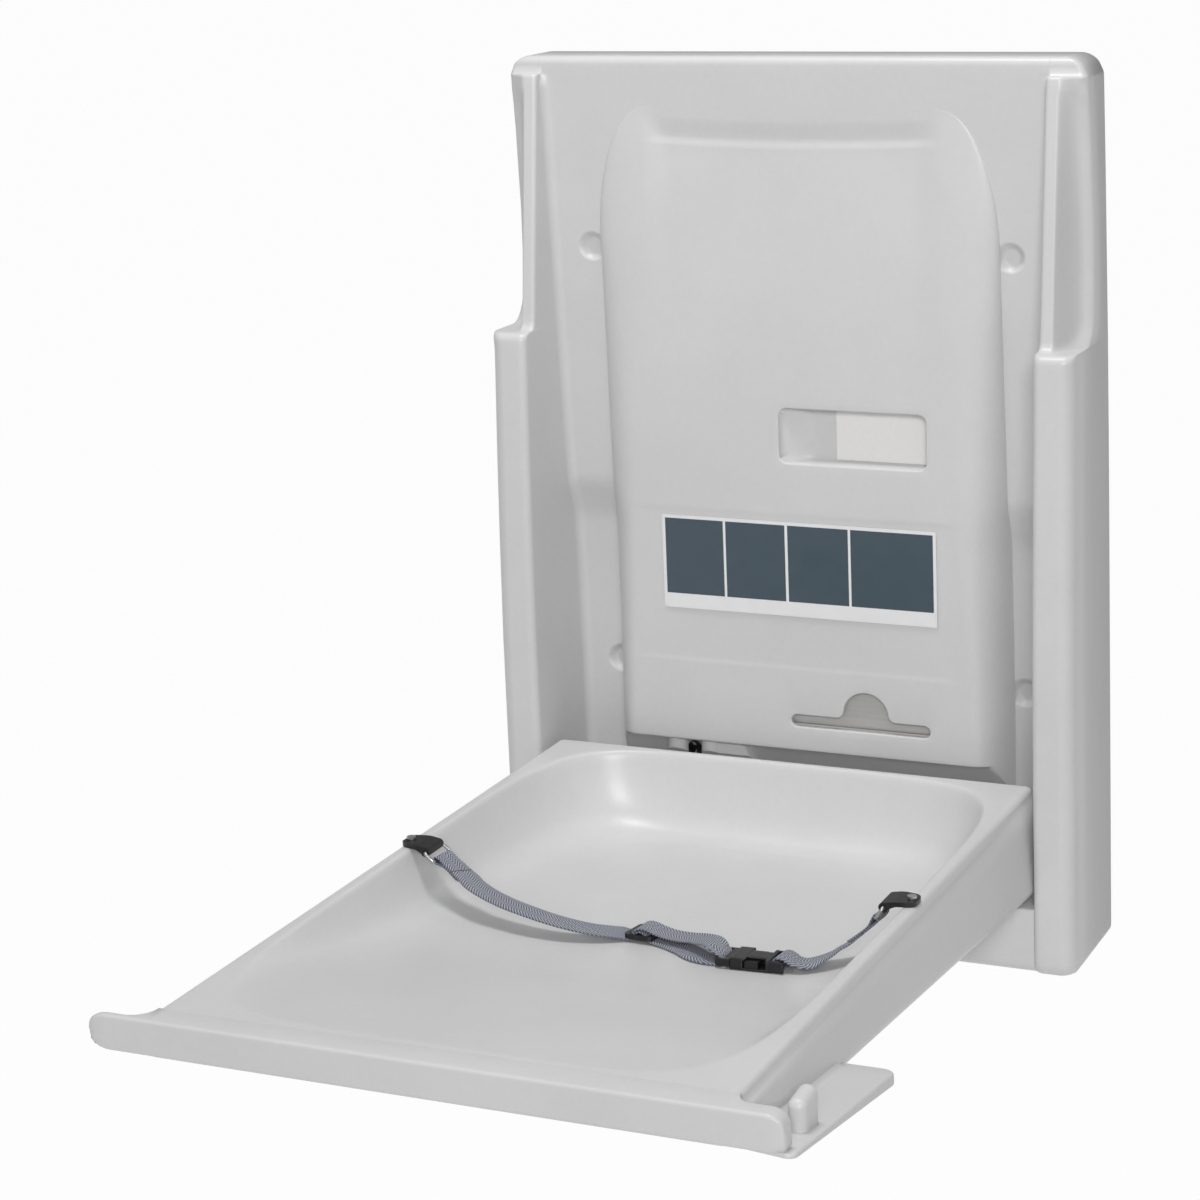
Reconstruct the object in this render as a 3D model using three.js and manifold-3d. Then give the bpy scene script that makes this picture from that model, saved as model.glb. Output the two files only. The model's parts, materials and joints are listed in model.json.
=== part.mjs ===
// Wall-mounted baby changing station: a moulded wall unit with two pillars and a liner
// housing, and a moulded bed that folds up between the pillars on a steel rod.
// Millimetres. X to the right, Y into the wall, Z up. The origin is the middle of the wall face.
import * as THREE from "three";
import { mergeVertices } from "three/addons/utils/BufferGeometryUtils.js";
import Module from "manifold-3d";

const wasm = await Module();
wasm.setup();

// Fits
const seatGap = 0.3;
const runningGap = 0.3;

// Wall unit
const bodyWidth = 558;
const bodyHeight = 812;
const bodyCorner = 20;
const sideLean = 5.5;
const skin = 4;
const pillarLead = 21;
const pillarWidth = 36;
const pillarRound = 14;
const edgeRound = 8;
const apronSetback = 2;
const apronHeight = 62;
const apronRound = 2;
const panelFootDepth = 13;
const panelCreaseDepth = 16;
const panelUpperDepth = 28;
const panelTopDepth = 52;
const creaseHeight = 372;
const creaseRise = 34;
const backThickness = 3;
const backRim = 2;

// Ridges and scooped shelves above the step of each pillar
const shelfDepth = 50;
const scoopRise = 42;
const scoopRun = 34;
const stepRound = 8;
const ridgeInset = 2;
const ridgeWidth = 13;
const ridgeTopDepth = 72;
const ridgeTopDrop = 10;

// Liner housing on the panel
const housingHalf = 188;
const housingFoot = 164;
const housingTop = 757;
const housingDepth = 63;
const housingTopDepth = 50;
const housingShoulder = 24;
const housingFlatTop = 500;
const housingCornerWidth = 50;
const housingCornerRise = 115;

// Card pocket, liner slot and label on the housing
const pocketLeft = -13;
const pocketRight = 129;
const pocketBottom = 443;
const pocketTop = 494;
const pocketDepth = 19;
const pocketRamp = 27;
const cardThickness = 0.6;
const cardWidth = 92;
const slotLeft = -8;
const slotRight = 128;
const slotBottom = 196;
const slotHeight = 8;
const notchX = 67;
const notchRadius = 27;
const labelLeft = -132;
const labelRight = 137;
const labelBottom = 299;
const labelTop = 388;
const labelThickness = 0.5;

// Liner holder and the pack of liners behind the slot
const holderWall = 2;
const packDepth = 49;
const packHeight = 240;
const packMargin = 4;

// Guide boss below the housing
const bossLeft = -153;
const bossRight = -66;
const bossDepth = 34;
const bossFoot = 142;
const columnRadius = 9;
const columnSpacing = 34.5;
const bossSlotWidth = 9;

// Wall fixings: dimples at stud spacing, and the screws of the back panel
const studSpacing = 406.4;
const dimpleUpper = 635;
const dimpleLower = 229;
const dimpleRadius = 14;
const dimpleFloor = 8;
const dimpleDepth = 6;
const dimpleBossRadius = 19;
const backScrewInset = 28;
const backScrewLow = 112;
const backScrewMiddle = 470;
const backScrewTopDrop = 42;
const backScrewRadius = 2;
const backScrewHead = 4;
const backScrewLength = 9;
const backScrewBoss = 6;

// Hinge
const hingeDepth = 99;
const hingeHeight = 89;
const rodRadius = 6.35;
const bushWall = 3.35;
const bushFlange = 13;
const bushFlangeThickness = 2.1;
const bushTail = 3;
const socketWall = 5.5;
const socketDepth = 5;
const rodHoleRadius = 2;
const saddleWall = 7;
const saddleLength = 14;

// Bed
const wedge = THREE.MathUtils.degToRad(4.5);
const railRise = 79.5;
const bedSideGap = 3;
const bedDraft = 6;
const bedRear = 13;
const rearLean = 2;
const wingReach = 493;
const wingOverhang = 4;
const wingThickness = 9;
const wingFrontThickness = 3;
const wingCorner = 16;
const lipReach = 701;
const lipBottom = 50;
const lipHeight = 23;
const lipRound = 9;
const lipLength = 35;
const lipRightInset = 13;
const lipEndRound = 14;
const lipRear = 25;
const deckThickness = 4.7;
const deckRound = 5;
const bedBottomRound = 12;
const bedFrontSkin = 14;
const stepGap = 20;

// Basin of the deck
const railWidth = 13;
const basinRearReach = 3;
const basinFrontReach = 667;
const basinFloorRise = 24;
const basinSquareness = 6;
const basinSteps = 40;
// Basin wall as [share of the depth, inset from the rim]
const basinProfile = [[-0.15, 0], [0, 0], [0.35, 5], [0.72, 14], [0.92, 25], [1, 40]];

// Bag post on the right wing
const postWidth = 11;
const postLength = 28;
const postHeight = 24;
const postInset = 6;
const postReach = 643;
const postRound = 4;

// Stops under the bed
const stopRadius = 3.5;
const stopX = 150;
const stopFromFront = 2;

// Damper inside the left pillar
const leverRadius = 30;
const leverThickness = 5.5;
const leverHub = 13;
const leverTip = 8;
const pinRadius = 4;
const eyeThickness = 5;
const eyeHeight = 24;
const eyeSlotSpare = 1.2;
const damperRodRadius = 4;
const damperRodLength = 180;
const damperRadius = 10;
const damperFoot = 165;
const damperLength = 185;
const damperEye = 20;
const damperEyeSink = 2;
const bracketThickness = 4;
const bracketHeight = 40;

// Safety strap
const strapReach = 299;
const anchorOuterInset = 1;
const anchorPad = 17;
const anchorTip = 20;
const anchorWidth = 26;
const anchorThickness = 4;
const anchorEye = 4.2;
const anchorEyeReach = 27;
const anchorEyeDrop = 1.4;
const anchorScrewRadius = 1.9;
const anchorScrewHead = 4;
const anchorScrewLength = 12;
const ringWire = 1.5;
const ringLength = 12;
const ringDropLeft = THREE.MathUtils.degToRad(38);
const ringDropRight = THREE.MathUtils.degToRad(57);
const webbingWidth = 25;
const webbingThickness = 1.6;

// Side-release buckle and strap adjuster
const buckleWidth = 32;
const buckleThickness = 9.4;
const femaleLength = 45;
const femaleWall = 2.6;
const femaleMouth = 30;
const windowStart = 10;
const windowEnd = 26;
const maleLength = 13;
const maleThickness = 6.4;
const tongueHalf = 2;
const tongueLength = 26;
const prongInner = 6.6;
const prongThickness = 4.2;
const prongHead = 15.4;
const prongHeadStart = 12;
const prongLength = 24;
const prongRootGap = 0.6;
const buckleFromEye = 113.5;
const buckleReach = 349;
const buckleTurn = THREE.MathUtils.degToRad(4.7);
const glideLength = 26;
const glideWidth = 31;
const glideThickness = 4;
const glideBar = 4;
const glideFromBuckle = 93.5;
const glideReach = 317;
const glideLift = 5.5;
const glideTurn = THREE.MathUtils.degToRad(-4);

// Derived places
const halfWidth = bodyWidth / 2;
const pillarInner = halfWidth - pillarWidth;
const pillarDepth = hingeDepth + pillarLead;
const apronDepth = pillarDepth - apronSetback;
const ridgeFootDepth = pillarDepth - pillarRound;
const backScrewX = pillarInner - backScrewInset;
const backScrewRows = [backScrewLow, backScrewMiddle, bodyHeight - backScrewTopDrop];
const closingAngle = Math.PI / 2 - wedge;
const bedHalf = pillarInner - bedSideGap;
const railHalf = bedHalf - bedDraft;
const lipRightEnd = halfWidth - lipRightInset;
const basinHalf = railHalf - railWidth;
const basinRear = hingeDepth + basinRearReach;
const basinFront = hingeDepth + basinFrontReach;
const railZ = hingeHeight + railRise;
const partingZ = railZ - deckThickness;
const wingY = -(hingeDepth + wingReach);
const lipY = -(hingeDepth + lipReach);
const lipZ = hingeHeight + lipBottom;
const bedBottomDrop = (pillarDepth - hingeDepth) / Math.cos(wedge);
const panelTopZ = bodyHeight - edgeRound;
const strapY = -(hingeDepth + strapReach);

// Height of the flat underside at a place y, level with the pillar fronts when folded up.
function undersideZ(y) {
  return hingeHeight - bedBottomDrop + Math.tan(wedge) * (-hingeDepth - y);
}

// Height of the underside in front of the wings' rear edge, where it bends up to the lip.
function noseZ(y) {
  const rise = (lipZ - undersideZ(wingY)) / (wingY - lipY);
  return undersideZ(wingY) + rise * (wingY - y);
}

function basinFloorZ(y) {
  return undersideZ(y) + basinFloorRise;
}

// The wing's rear edge, folded up, stops above the step by stepGap.
const wingTopAtRear = undersideZ(wingY) - hingeHeight;
const stepZ =
  hingeHeight + wingReach * Math.sin(closingAngle) + wingTopAtRear * Math.cos(closingAngle) - stepGap;

// Front of the panel as [height, depth] from the bottom to the top.
const panelLine = [
  [apronHeight, panelFootDepth],
  [dimpleLower, panelFootDepth],
  [creaseHeight, panelCreaseDepth],
  [creaseHeight + creaseRise, panelUpperDepth],
  [panelTopZ, panelTopDepth],
];

function panelDepthAt(z) {
  const i = Math.max(1, panelLine.findIndex(([height]) => height >= z));
  const [z0, d0] = panelLine[i - 1];
  const [z1, d1] = panelLine[i];
  return d0 + ((d1 - d0) * (z - z0)) / (z1 - z0);
}

// Finishes
const finish = {
  moulding: { color: 0xc6c7c6, roughness: 0.55, metalness: 0 },
  back: { color: 0xb4b5b5, roughness: 0.6, metalness: 0 },
  steel: { color: 0xb8bcc0, roughness: 0.35, metalness: 1 },
  zinc: { color: 0xa9adb0, roughness: 0.45, metalness: 1 },
  nylon: { color: 0xe8e6de, roughness: 0.5, metalness: 0 },
  rubber: { color: 0x232323, roughness: 0.8, metalness: 0 },
  black: { color: 0x17181a, roughness: 0.45, metalness: 0 },
  paper: { color: 0xf1f1ee, roughness: 0.9, metalness: 0 },
  label: { color: 0x4b5a66, roughness: 0.4, metalness: 0 },
  webbing: { color: 0x85898f, roughness: 0.9, metalness: 0 },
};

// Solid from a closed indexed geometry whose corners are shared.
function solidOf(merged) {
  const vertProperties = new Float32Array(merged.attributes.position.array);
  const triVerts = new Uint32Array(merged.index.array);
  return new wasm.Manifold(new wasm.Mesh({ numProp: 3, vertProperties, triVerts }));
}

// Solid from any closed three.js geometry.
function solid(geometry) {
  const bare = geometry.clone();
  bare.deleteAttribute("normal");
  bare.deleteAttribute("uv");
  return solidOf(mergeVertices(bare, 1e-4));
}

function join(first, ...others) {
  return others.reduce((whole, other) => whole.add(other), first);
}

function cut(first, ...others) {
  return others.reduce((whole, other) => whole.subtract(other), first);
}

function indexedOf(whole) {
  const mesh = whole.getMesh();
  const indexed = new THREE.BufferGeometry();
  indexed.setAttribute("position", new THREE.BufferAttribute(new Float32Array(mesh.vertProperties), 3));
  indexed.setIndex(new THREE.BufferAttribute(new Uint32Array(mesh.triVerts), 1));
  return indexed;
}

function geometryOf(whole) {
  const flat = indexedOf(whole).toNonIndexed();
  flat.computeVertexNormals();
  return flat;
}

// Mirror image across the plane x = 0, or y = 0, with its faces turned to point out.
function mirrored(whole, scale = [-1, 1, 1]) {
  const image = indexedOf(whole).scale(...scale);
  image.index.array.reverse();
  return solidOf(image);
}

// The outer sides lean in towards the top, and are at full width at the height of the hinge.
function leanIn(whole) {
  const leaning = indexedOf(whole);
  const points = leaning.attributes.position;
  for (let i = 0; i < points.count; i += 1) {
    const x = points.getX(i);
    const share = Math.max(0, (Math.abs(x) - pillarInner - skin) / (pillarWidth - skin));
    const height = (points.getZ(i) - hingeHeight) / (bodyHeight - hingeHeight);
    points.setX(i, x - Math.sign(x) * share * height * sideLean);
  }
  return solidOf(leaning);
}

// Closed outline from corners [u, v, round]; round is the length taken off each side.
function outline(corners) {
  const shape = new THREE.Shape();
  corners.forEach(([u, v, round = 0], i) => {
    const here = new THREE.Vector2(u, v);
    const before = new THREE.Vector2(...corners.at(i - 1).slice(0, 2)).sub(here).setLength(round).add(here);
    const next = corners[(i + 1) % corners.length];
    const after = new THREE.Vector2(...next.slice(0, 2)).sub(here).setLength(round).add(here);
    if (i === 0) shape.moveTo(before.x, before.y);
    else shape.lineTo(before.x, before.y);
    if (round > 0) shape.quadraticCurveTo(u, v, after.x, after.y);
  });
  return shape;
}

const xAxis = new THREE.Vector3(1, 0, 0);
const yAxis = new THREE.Vector3(0, 1, 0);
const zAxis = new THREE.Vector3(0, 0, 1);
const ontoX = new THREE.Matrix4().makeBasis(yAxis, zAxis, xAxis);
const ontoY = new THREE.Matrix4().makeBasis(xAxis, zAxis, yAxis.clone().negate());
const floorUp = new THREE.Vector3(0, Math.sin(wedge), Math.cos(wedge));
const curveSegments = 4;

function extrude(shape, depth, bevel = {}) {
  return new THREE.ExtrudeGeometry(shape, { depth, curveSegments, bevelEnabled: false, ...bevel });
}

// Prisms of an outline: (y, z) along X, (x, z) along Y and (x, y) along Z.
function prismX(shape, x0, x1) {
  return solid(extrude(shape, x1 - x0).applyMatrix4(ontoX).translate(x0, 0, 0));
}

function prismY(shape, front, back) {
  return solid(extrude(shape, back - front).applyMatrix4(ontoY).translate(0, back, 0));
}

function prismZ(shape, z0, z1) {
  return solid(extrude(shape, z1 - z0).translate(0, 0, z0));
}

function box(x0, x1, y0, y1, z0, z1) {
  const geometry = new THREE.BoxGeometry(x1 - x0, y1 - y0, z1 - z0);
  return solid(geometry.translate((x0 + x1) / 2, (y0 + y1) / 2, (z0 + z1) / 2));
}

// Round bars along an axis, from one end to the other.
function barX(radius, x0, x1, y, z, sides = 20) {
  const geometry = new THREE.CylinderGeometry(radius, radius, x1 - x0, sides).rotateZ(-Math.PI / 2);
  return solid(geometry.translate((x0 + x1) / 2, y, z));
}

function barY(radius, y0, y1, x, z, sides = 20, farRadius = radius) {
  const geometry = new THREE.CylinderGeometry(farRadius, radius, y1 - y0, sides);
  return solid(geometry.translate(x, (y0 + y1) / 2, z));
}

function barZ(radius, z0, z1, x, y, sides = 20) {
  const geometry = new THREE.CylinderGeometry(radius, radius, z1 - z0, sides).rotateX(Math.PI / 2);
  return solid(geometry.translate(x, y, (z0 + z1) / 2));
}

// Closed skin over rings of equal count; each end ring is flat and convex.
function loft(rings) {
  const count = rings[0].length;
  const points = rings.flat();
  const faces = [];
  for (let k = 0; k + 1 < rings.length; k += 1) {
    for (let i = 0; i < count; i += 1) {
      const a = k * count + i;
      const b = k * count + ((i + 1) % count);
      faces.push(a, b, a + count, b, b + count, a + count);
    }
  }
  const last = (rings.length - 1) * count;
  for (let i = 1; i + 1 < count; i += 1) faces.push(0, i + 1, i, last, last + i, last + i + 1);
  const geometry = new THREE.BufferGeometry().setFromPoints(points);
  geometry.setIndex(faces);
  return solid(geometry);
}

// Flat ribbon along a smooth route, its width level with the sloping basin floor.
function ribbon(route, width, thickness, steps) {
  const curve = new THREE.CatmullRomCurve3(route.map((p) => new THREE.Vector3(...p)));
  const rings = [];
  for (let i = 0; i <= steps; i += 1) {
    const middle = curve.getPointAt(i / steps);
    const tangent = curve.getTangentAt(i / steps);
    const side = new THREE.Vector3().crossVectors(tangent, floorUp).setLength(width / 2);
    const rise = new THREE.Vector3().crossVectors(side, tangent).setLength(thickness / 2);
    const corners = [[1, 1], [1, -1], [-1, -1], [-1, 1]];
    rings.push(corners.map(([s, r]) => middle.clone().addScaledVector(side, s).addScaledVector(rise, r)));
  }
  return loft(rings);
}

// The station is drawn with z from the foot of the wall unit, then lowered to its origin.
const station = new THREE.Group();
station.position.z = -bodyHeight / 2;

function piece(name, whole, look, parent = station) {
  const made = new THREE.Mesh(geometryOf(whole), new THREE.MeshStandardMaterial(finish[look]));
  made.name = name;
  parent.add(made);
  return made;
}

// Outer form of the wall unit, or its hollow when inset by the skin and run out through the back.
function frontOutline(inset) {
  const x = halfWidth - inset;
  const round = bodyCorner - inset;
  const top = bodyHeight - inset;
  return outline([[-x, inset, round / 2], [x, inset, round / 2], [x, top, round], [-x, top, round]]);
}

function pillarForm(inset, back) {
  const x0 = pillarInner + inset;
  const x1 = halfWidth - inset;
  const front = -pillarDepth + inset;
  const shelf = -shelfDepth + inset;
  const round = pillarRound - inset;
  const section = prismZ(
    outline([[x0, back], [x1, back], [x1, front, round], [x0, front, round]]),
    inset,
    bodyHeight - inset,
  );
  const side = new THREE.Shape();
  side.moveTo(back, inset);
  side.lineTo(front + round, inset);
  side.quadraticCurveTo(front, inset, front, inset + round);
  side.lineTo(front, stepZ - stepRound - inset);
  side.quadraticCurveTo(front, stepZ - inset, front + stepRound, stepZ - inset);
  side.lineTo(shelf - scoopRun, stepZ - inset);
  side.quadraticCurveTo(shelf, stepZ - inset, shelf, stepZ + scoopRise - inset);
  side.lineTo(shelf, bodyHeight - edgeRound - inset);
  side.quadraticCurveTo(shelf, bodyHeight - inset, shelf + edgeRound, bodyHeight - inset);
  side.lineTo(back, bodyHeight - inset);
  return section.intersect(prismX(side, x0 - skin, x1 + skin));
}

function ridgeForm() {
  const x0 = pillarInner + ridgeInset;
  const x1 = x0 + ridgeWidth;
  const top = bodyHeight - ridgeTopDrop;
  const section = prismZ(
    outline([[x0, 0], [x1, 0], [x1, -pillarDepth, skin], [x0, -pillarDepth, skin]]),
    stepZ - pillarRound,
    top,
  );
  const side = outline([
    [0, stepZ - pillarRound],
    [-pillarDepth + pillarRound, stepZ - pillarRound],
    [-pillarDepth + pillarRound, stepZ],
    [-ridgeFootDepth, stepZ + edgeRound],
    [-ridgeTopDepth, top, pillarRound],
    [0, top],
  ]);
  return section.intersect(prismX(side, x0 - skin, x1 + skin));
}

function panelForm(inset, back) {
  const half = pillarInner + skin / 2 - 2 * inset;
  const front = panelLine.slice(1).map(([z, depth]) => [-depth + inset, Math.min(z, bodyHeight - inset)]);
  const side = outline([
    [back, inset],
    [-apronDepth + inset, inset, pillarRound - inset],
    [-apronDepth + inset, apronHeight - inset, apronRound],
    [-panelFootDepth + inset, apronHeight - inset],
    ...front,
    [-panelTopDepth + edgeRound, bodyHeight - inset],
    [back, bodyHeight - inset],
  ]);
  return prismX(side, -half, half);
}

function housingForm(inset, back) {
  const half = housingHalf - inset;
  const foot = housingFoot + inset;
  const top = housingTop - inset;
  const face = new THREE.Shape();
  face.moveTo(-half, foot);
  face.lineTo(half, foot);
  face.lineTo(half, top - housingCornerRise);
  face.quadraticCurveTo(half, top, half - housingCornerWidth, top);
  face.lineTo(housingCornerWidth - half, top);
  face.quadraticCurveTo(-half, top, -half, top - housingCornerRise);
  const shoulder = housingShoulder - inset;
  const geometry = extrude(face, pillarDepth, {
    bevelEnabled: true,
    bevelSize: shoulder,
    bevelOffset: -shoulder,
    bevelThickness: shoulder,
    bevelSegments: 3,
  });
  const front = -housingDepth + inset;
  const block = solid(geometry.applyMatrix4(ontoY).translate(0, pillarDepth + shoulder + front, 0));
  const side = outline([
    [back, foot],
    [front, foot, edgeRound - inset],
    [front, housingFlatTop, housingFlatTop / 8],
    [-housingTopDepth + inset, housingTop],
    [back, housingTop],
  ]);
  const sideBlock = prismX(side, -housingHalf, housingHalf);
  const lower = box(-half, half, front, back, foot, foot + 2 * housingShoulder);
  const sides = prismZ(
    outline([[-half, back], [half, back], [half, front, shoulder], [-half, front, shoulder]]),
    foot,
    foot + 2 * housingShoulder,
  );
  return join(block, lower.intersect(sides)).intersect(sideBlock);
}

function bothSides(form) {
  return join(form, mirrored(form));
}

function bossForm() {
  const foot = bossFoot;
  const top = housingFoot + edgeRound;
  const columnY = -bossDepth + columnRadius;
  const first = bossLeft + columnRadius;
  return join(
    box(bossLeft + columnRadius, bossRight, columnY, 0, foot, top),
    barZ(columnRadius, foot, top, first, columnY, 16),
    barZ(columnRadius, foot, top, first + columnSpacing, columnY, 16),
  );
}

function makeWallShell() {
  const outer = join(
    bothSides(pillarForm(0, 0)),
    bothSides(ridgeForm()),
    panelForm(0, 0),
    housingForm(0, 0),
    bossForm(),
  ).intersect(prismY(frontOutline(0), -pillarDepth, 0));
  const out = skin;
  const hollow = join(bothSides(pillarForm(skin, out)), panelForm(skin, out), housingForm(skin, out));
  const seat = -backThickness - seatGap;
  const rearFixings = [];
  const rearCuts = [];
  for (const x of [-studSpacing / 2, studSpacing / 2]) {
    for (const z of [dimpleLower, dimpleUpper]) {
      const face = -panelDepthAt(z);
      const floor = face + dimpleDepth;
      rearFixings.push(barY(dimpleBossRadius, face - skin, seat, x, z, 24));
      rearCuts.push(barY(dimpleRadius, face, floor, x, z, 24, dimpleFloor));
      rearCuts.push(barY(dimpleRadius, face - 2 * skin, face, x, z, 24));
    }
  }
  for (const x of [-backScrewX, backScrewX]) {
    for (const z of backScrewRows) {
      rearFixings.push(barY(backScrewBoss, -panelDepthAt(z), seat, x, z, 12));
      rearCuts.push(barY(backScrewRadius + runningGap, seat - backScrewLength, seat, x, z, 12));
    }
  }
  const pocketWall = box(
    pocketLeft - skin,
    pocketRight + skin,
    -housingDepth,
    -housingDepth + pocketDepth + skin,
    pocketBottom - skin,
    pocketTop + skin,
  );
  const sockets = bothSides(
    barX(rodRadius + runningGap + socketWall, halfWidth - skin - socketDepth, halfWidth, -hingeDepth, hingeHeight),
  );
  const inside = join(pocketWall, sockets, ...rearFixings).intersect(outer);
  const back = prismY(frontOutline(backRim), seat, skin);
  return cut(
    join(outer.subtract(hollow), inside),
    back,
    ...rearCuts,
    pocketCut(),
    linerSlotCut(),
    bossSlotCut(),
    bothSides(bushHole()),
    bothSides(rodSocketCut()),
  );
}

function pocketCut() {
  const floor = -housingDepth + pocketDepth;
  const section = outline([
    [pocketLeft, -housingDepth - skin],
    [pocketLeft, -housingDepth],
    [pocketLeft + pocketRamp, floor],
    [pocketRight, floor],
    [pocketRight, -housingDepth - skin],
  ]);
  const face = outline([
    [pocketLeft, pocketBottom, edgeRound],
    [pocketRight, pocketBottom, edgeRound],
    [pocketRight, pocketTop, edgeRound],
    [pocketLeft, pocketTop, edgeRound],
  ]);
  return prismZ(section, pocketBottom, pocketTop).intersect(prismY(face, -housingDepth - skin, floor));
}

function linerSlotCut() {
  const half = slotHeight / 2;
  const front = -housingDepth - skin;
  const back = -housingDepth + 2 * skin;
  const slot = outline([
    [slotLeft, slotBottom, half],
    [slotRight, slotBottom, half],
    [slotRight, slotBottom + slotHeight, half],
    [slotLeft, slotBottom + slotHeight, half],
  ]);
  const moon = new THREE.Shape();
  moon.absarc(notchX, slotBottom + half, notchRadius, 0, Math.PI, false);
  return join(prismY(slot, front, back), prismY(moon, front, back));
}

function bossSlotCut() {
  const middle = bossLeft + columnRadius + columnSpacing / 2;
  const top = housingFoot - skin / 2;
  const half = bossSlotWidth / 2;
  const face = outline([
    [middle - half, bossFoot - skin],
    [middle + half, bossFoot - skin],
    [middle + half, top, half],
    [middle - half, top, half],
  ]);
  return prismY(face, -bossDepth - skin, -skin);
}

function bushHole() {
  const radius = rodRadius + runningGap + bushWall + seatGap;
  return barX(radius, pillarInner - skin, pillarInner + 2 * skin, -hingeDepth, hingeHeight);
}

function rodSocketCut() {
  const inner = halfWidth - skin;
  return join(
    barX(rodRadius + runningGap, inner - 2 * socketDepth, inner, -hingeDepth, hingeHeight),
    barX(rodHoleRadius, inner - socketDepth, halfWidth + skin, -hingeDepth, hingeHeight, 10),
  );
}

// Back panel with countersunk screws into the bosses of the shell.
function makeBackPanel() {
  const plate = prismY(frontOutline(backRim + seatGap), -backThickness, 0);
  const holes = [];
  for (const x of [-backScrewX, backScrewX]) {
    for (const z of backScrewRows) {
      holes.push(barY(backScrewRadius + seatGap, -backThickness - skin, skin, x, z, 12));
      holes.push(barY(backScrewRadius + seatGap, -backThickness, 0, x, z, 12, backScrewHead + seatGap));
    }
  }
  return cut(plate, ...holes);
}

function makeBackScrew(x, z) {
  return join(
    barY(backScrewRadius, -backThickness - backScrewLength + seatGap, -seatGap, x, z, 10),
    barY(backScrewRadius, -backThickness, -seatGap, x, z, 10, backScrewHead - seatGap),
  );
}

// Liner holder: a back plate and a shelf, with the stack of folded liners on it.
function makeLinerHolder() {
  const back = -backThickness - seatGap;
  const shelfZ = slotBottom - 2 * holderWall - seatGap;
  return join(
    box(slotLeft, slotRight, back - holderWall, back, shelfZ, shelfZ + packHeight),
    box(slotLeft, slotRight, back - holderWall - packDepth, back, shelfZ, shelfZ + holderWall),
  );
}

function makeLinerPack() {
  const back = -backThickness - holderWall - 2 * seatGap;
  const foot = slotBottom - holderWall;
  const outlineXY = outline([
    [slotLeft + packMargin, back, packMargin],
    [slotRight - packMargin, back, packMargin],
    [slotRight - packMargin, back - packDepth + packMargin, packMargin],
    [slotLeft + packMargin, back - packDepth + packMargin, packMargin],
  ]);
  return prismZ(outlineXY, foot, foot + packHeight - packMargin);
}

function makeCard() {
  const floor = -housingDepth + pocketDepth;
  return box(
    pocketRight - edgeRound / 2 - cardWidth + packMargin,
    pocketRight - seatGap - packMargin / 2,
    floor - seatGap - cardThickness,
    floor - seatGap,
    pocketBottom + seatGap + packMargin / 2,
    pocketTop - seatGap - packMargin / 2,
  );
}

function makeLabel() {
  const front = -housingDepth - seatGap;
  const face = outline([
    [labelLeft, labelBottom, 2],
    [labelRight, labelBottom, 2],
    [labelRight, labelTop, 2],
    [labelLeft, labelTop, 2],
  ]);
  return prismY(face, front - labelThickness, front);
}

// Flanged bush in a pillar, for the hinge rod.
function makeBush() {
  const bore = rodRadius + runningGap;
  const flangeX = pillarInner - seatGap;
  return cut(
    join(
      barX(bushFlange, flangeX - bushFlangeThickness, flangeX, -hingeDepth, hingeHeight, 24),
      barX(bore + bushWall, flangeX - 1, pillarInner + skin + bushTail, -hingeDepth, hingeHeight, 24),
    ),
    barX(bore, pillarInner - 2 * skin, pillarInner + 4 * skin, -hingeDepth, hingeHeight),
  );
}

// Saddle in the rear corner of the bed's hollow, open towards the rear wall, that carries the rod.
function makeSaddle() {
  const bore = rodRadius + seatGap;
  const reach = bore + saddleWall;
  const outerX = bedHalf - bedDraft - skin - seatGap;
  const block = box(
    outerX - saddleLength,
    outerX,
    -hingeDepth - reach,
    -hingeDepth + bedRear,
    hingeHeight - bedBottomDrop,
    hingeHeight + reach,
  );
  return cut(
    block.intersect(bedForm(skin + seatGap, railZ)),
    barX(bore, outerX - 2 * saddleLength, outerX + skin, -hingeDepth, hingeHeight),
    box(
      outerX - 2 * saddleLength,
      outerX + skin,
      -hingeDepth,
      -hingeDepth + bedRear,
      hingeHeight - bore,
      hingeHeight + bore,
    ),
  );
}

// Outer form of the bed between the rails, without lip, wings and post.
function bedForm(inset, top) {
  const rear = -hingeDepth + bedRear;
  const lipTop = lipZ + lipHeight;
  const frontY = inset > 0 ? lipY + bedFrontSkin + lipLength / 2 : lipY;
  const side = inset > 0
    ? outline([
        [rear - rearLean - inset, undersideZ(rear) + inset, bedBottomRound - inset],
        [rear - rearLean - inset, top],
        [frontY, top],
        [frontY, noseZ(frontY) + inset],
        [wingY, undersideZ(wingY) + inset],
      ])
    : outline([
        [rear, undersideZ(rear), bedBottomRound],
        [rear - rearLean, top, edgeRound],
        [lipY + lipLength / 2, top, edgeRound],
        [lipY + skin, lipTop, edgeRound / 2],
        [lipY + lipRound, noseZ(lipY + lipRound)],
        [wingY, undersideZ(wingY)],
      ]);
  const low = undersideZ(rear);
  const slope = bedDraft / (railZ - low);
  const topHalf = bedHalf - inset - slope * (top - low);
  const ends = outline([
    [-bedHalf + inset, low, bedBottomRound - inset],
    [bedHalf - inset, low, bedBottomRound - inset],
    [topHalf, top, inset > 0 ? 0 : deckRound],
    [-topHalf, top, inset > 0 ? 0 : deckRound],
  ]);
  return prismX(side, -halfWidth, halfWidth).intersect(prismY(ends, lipY - skin, 0));
}

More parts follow.
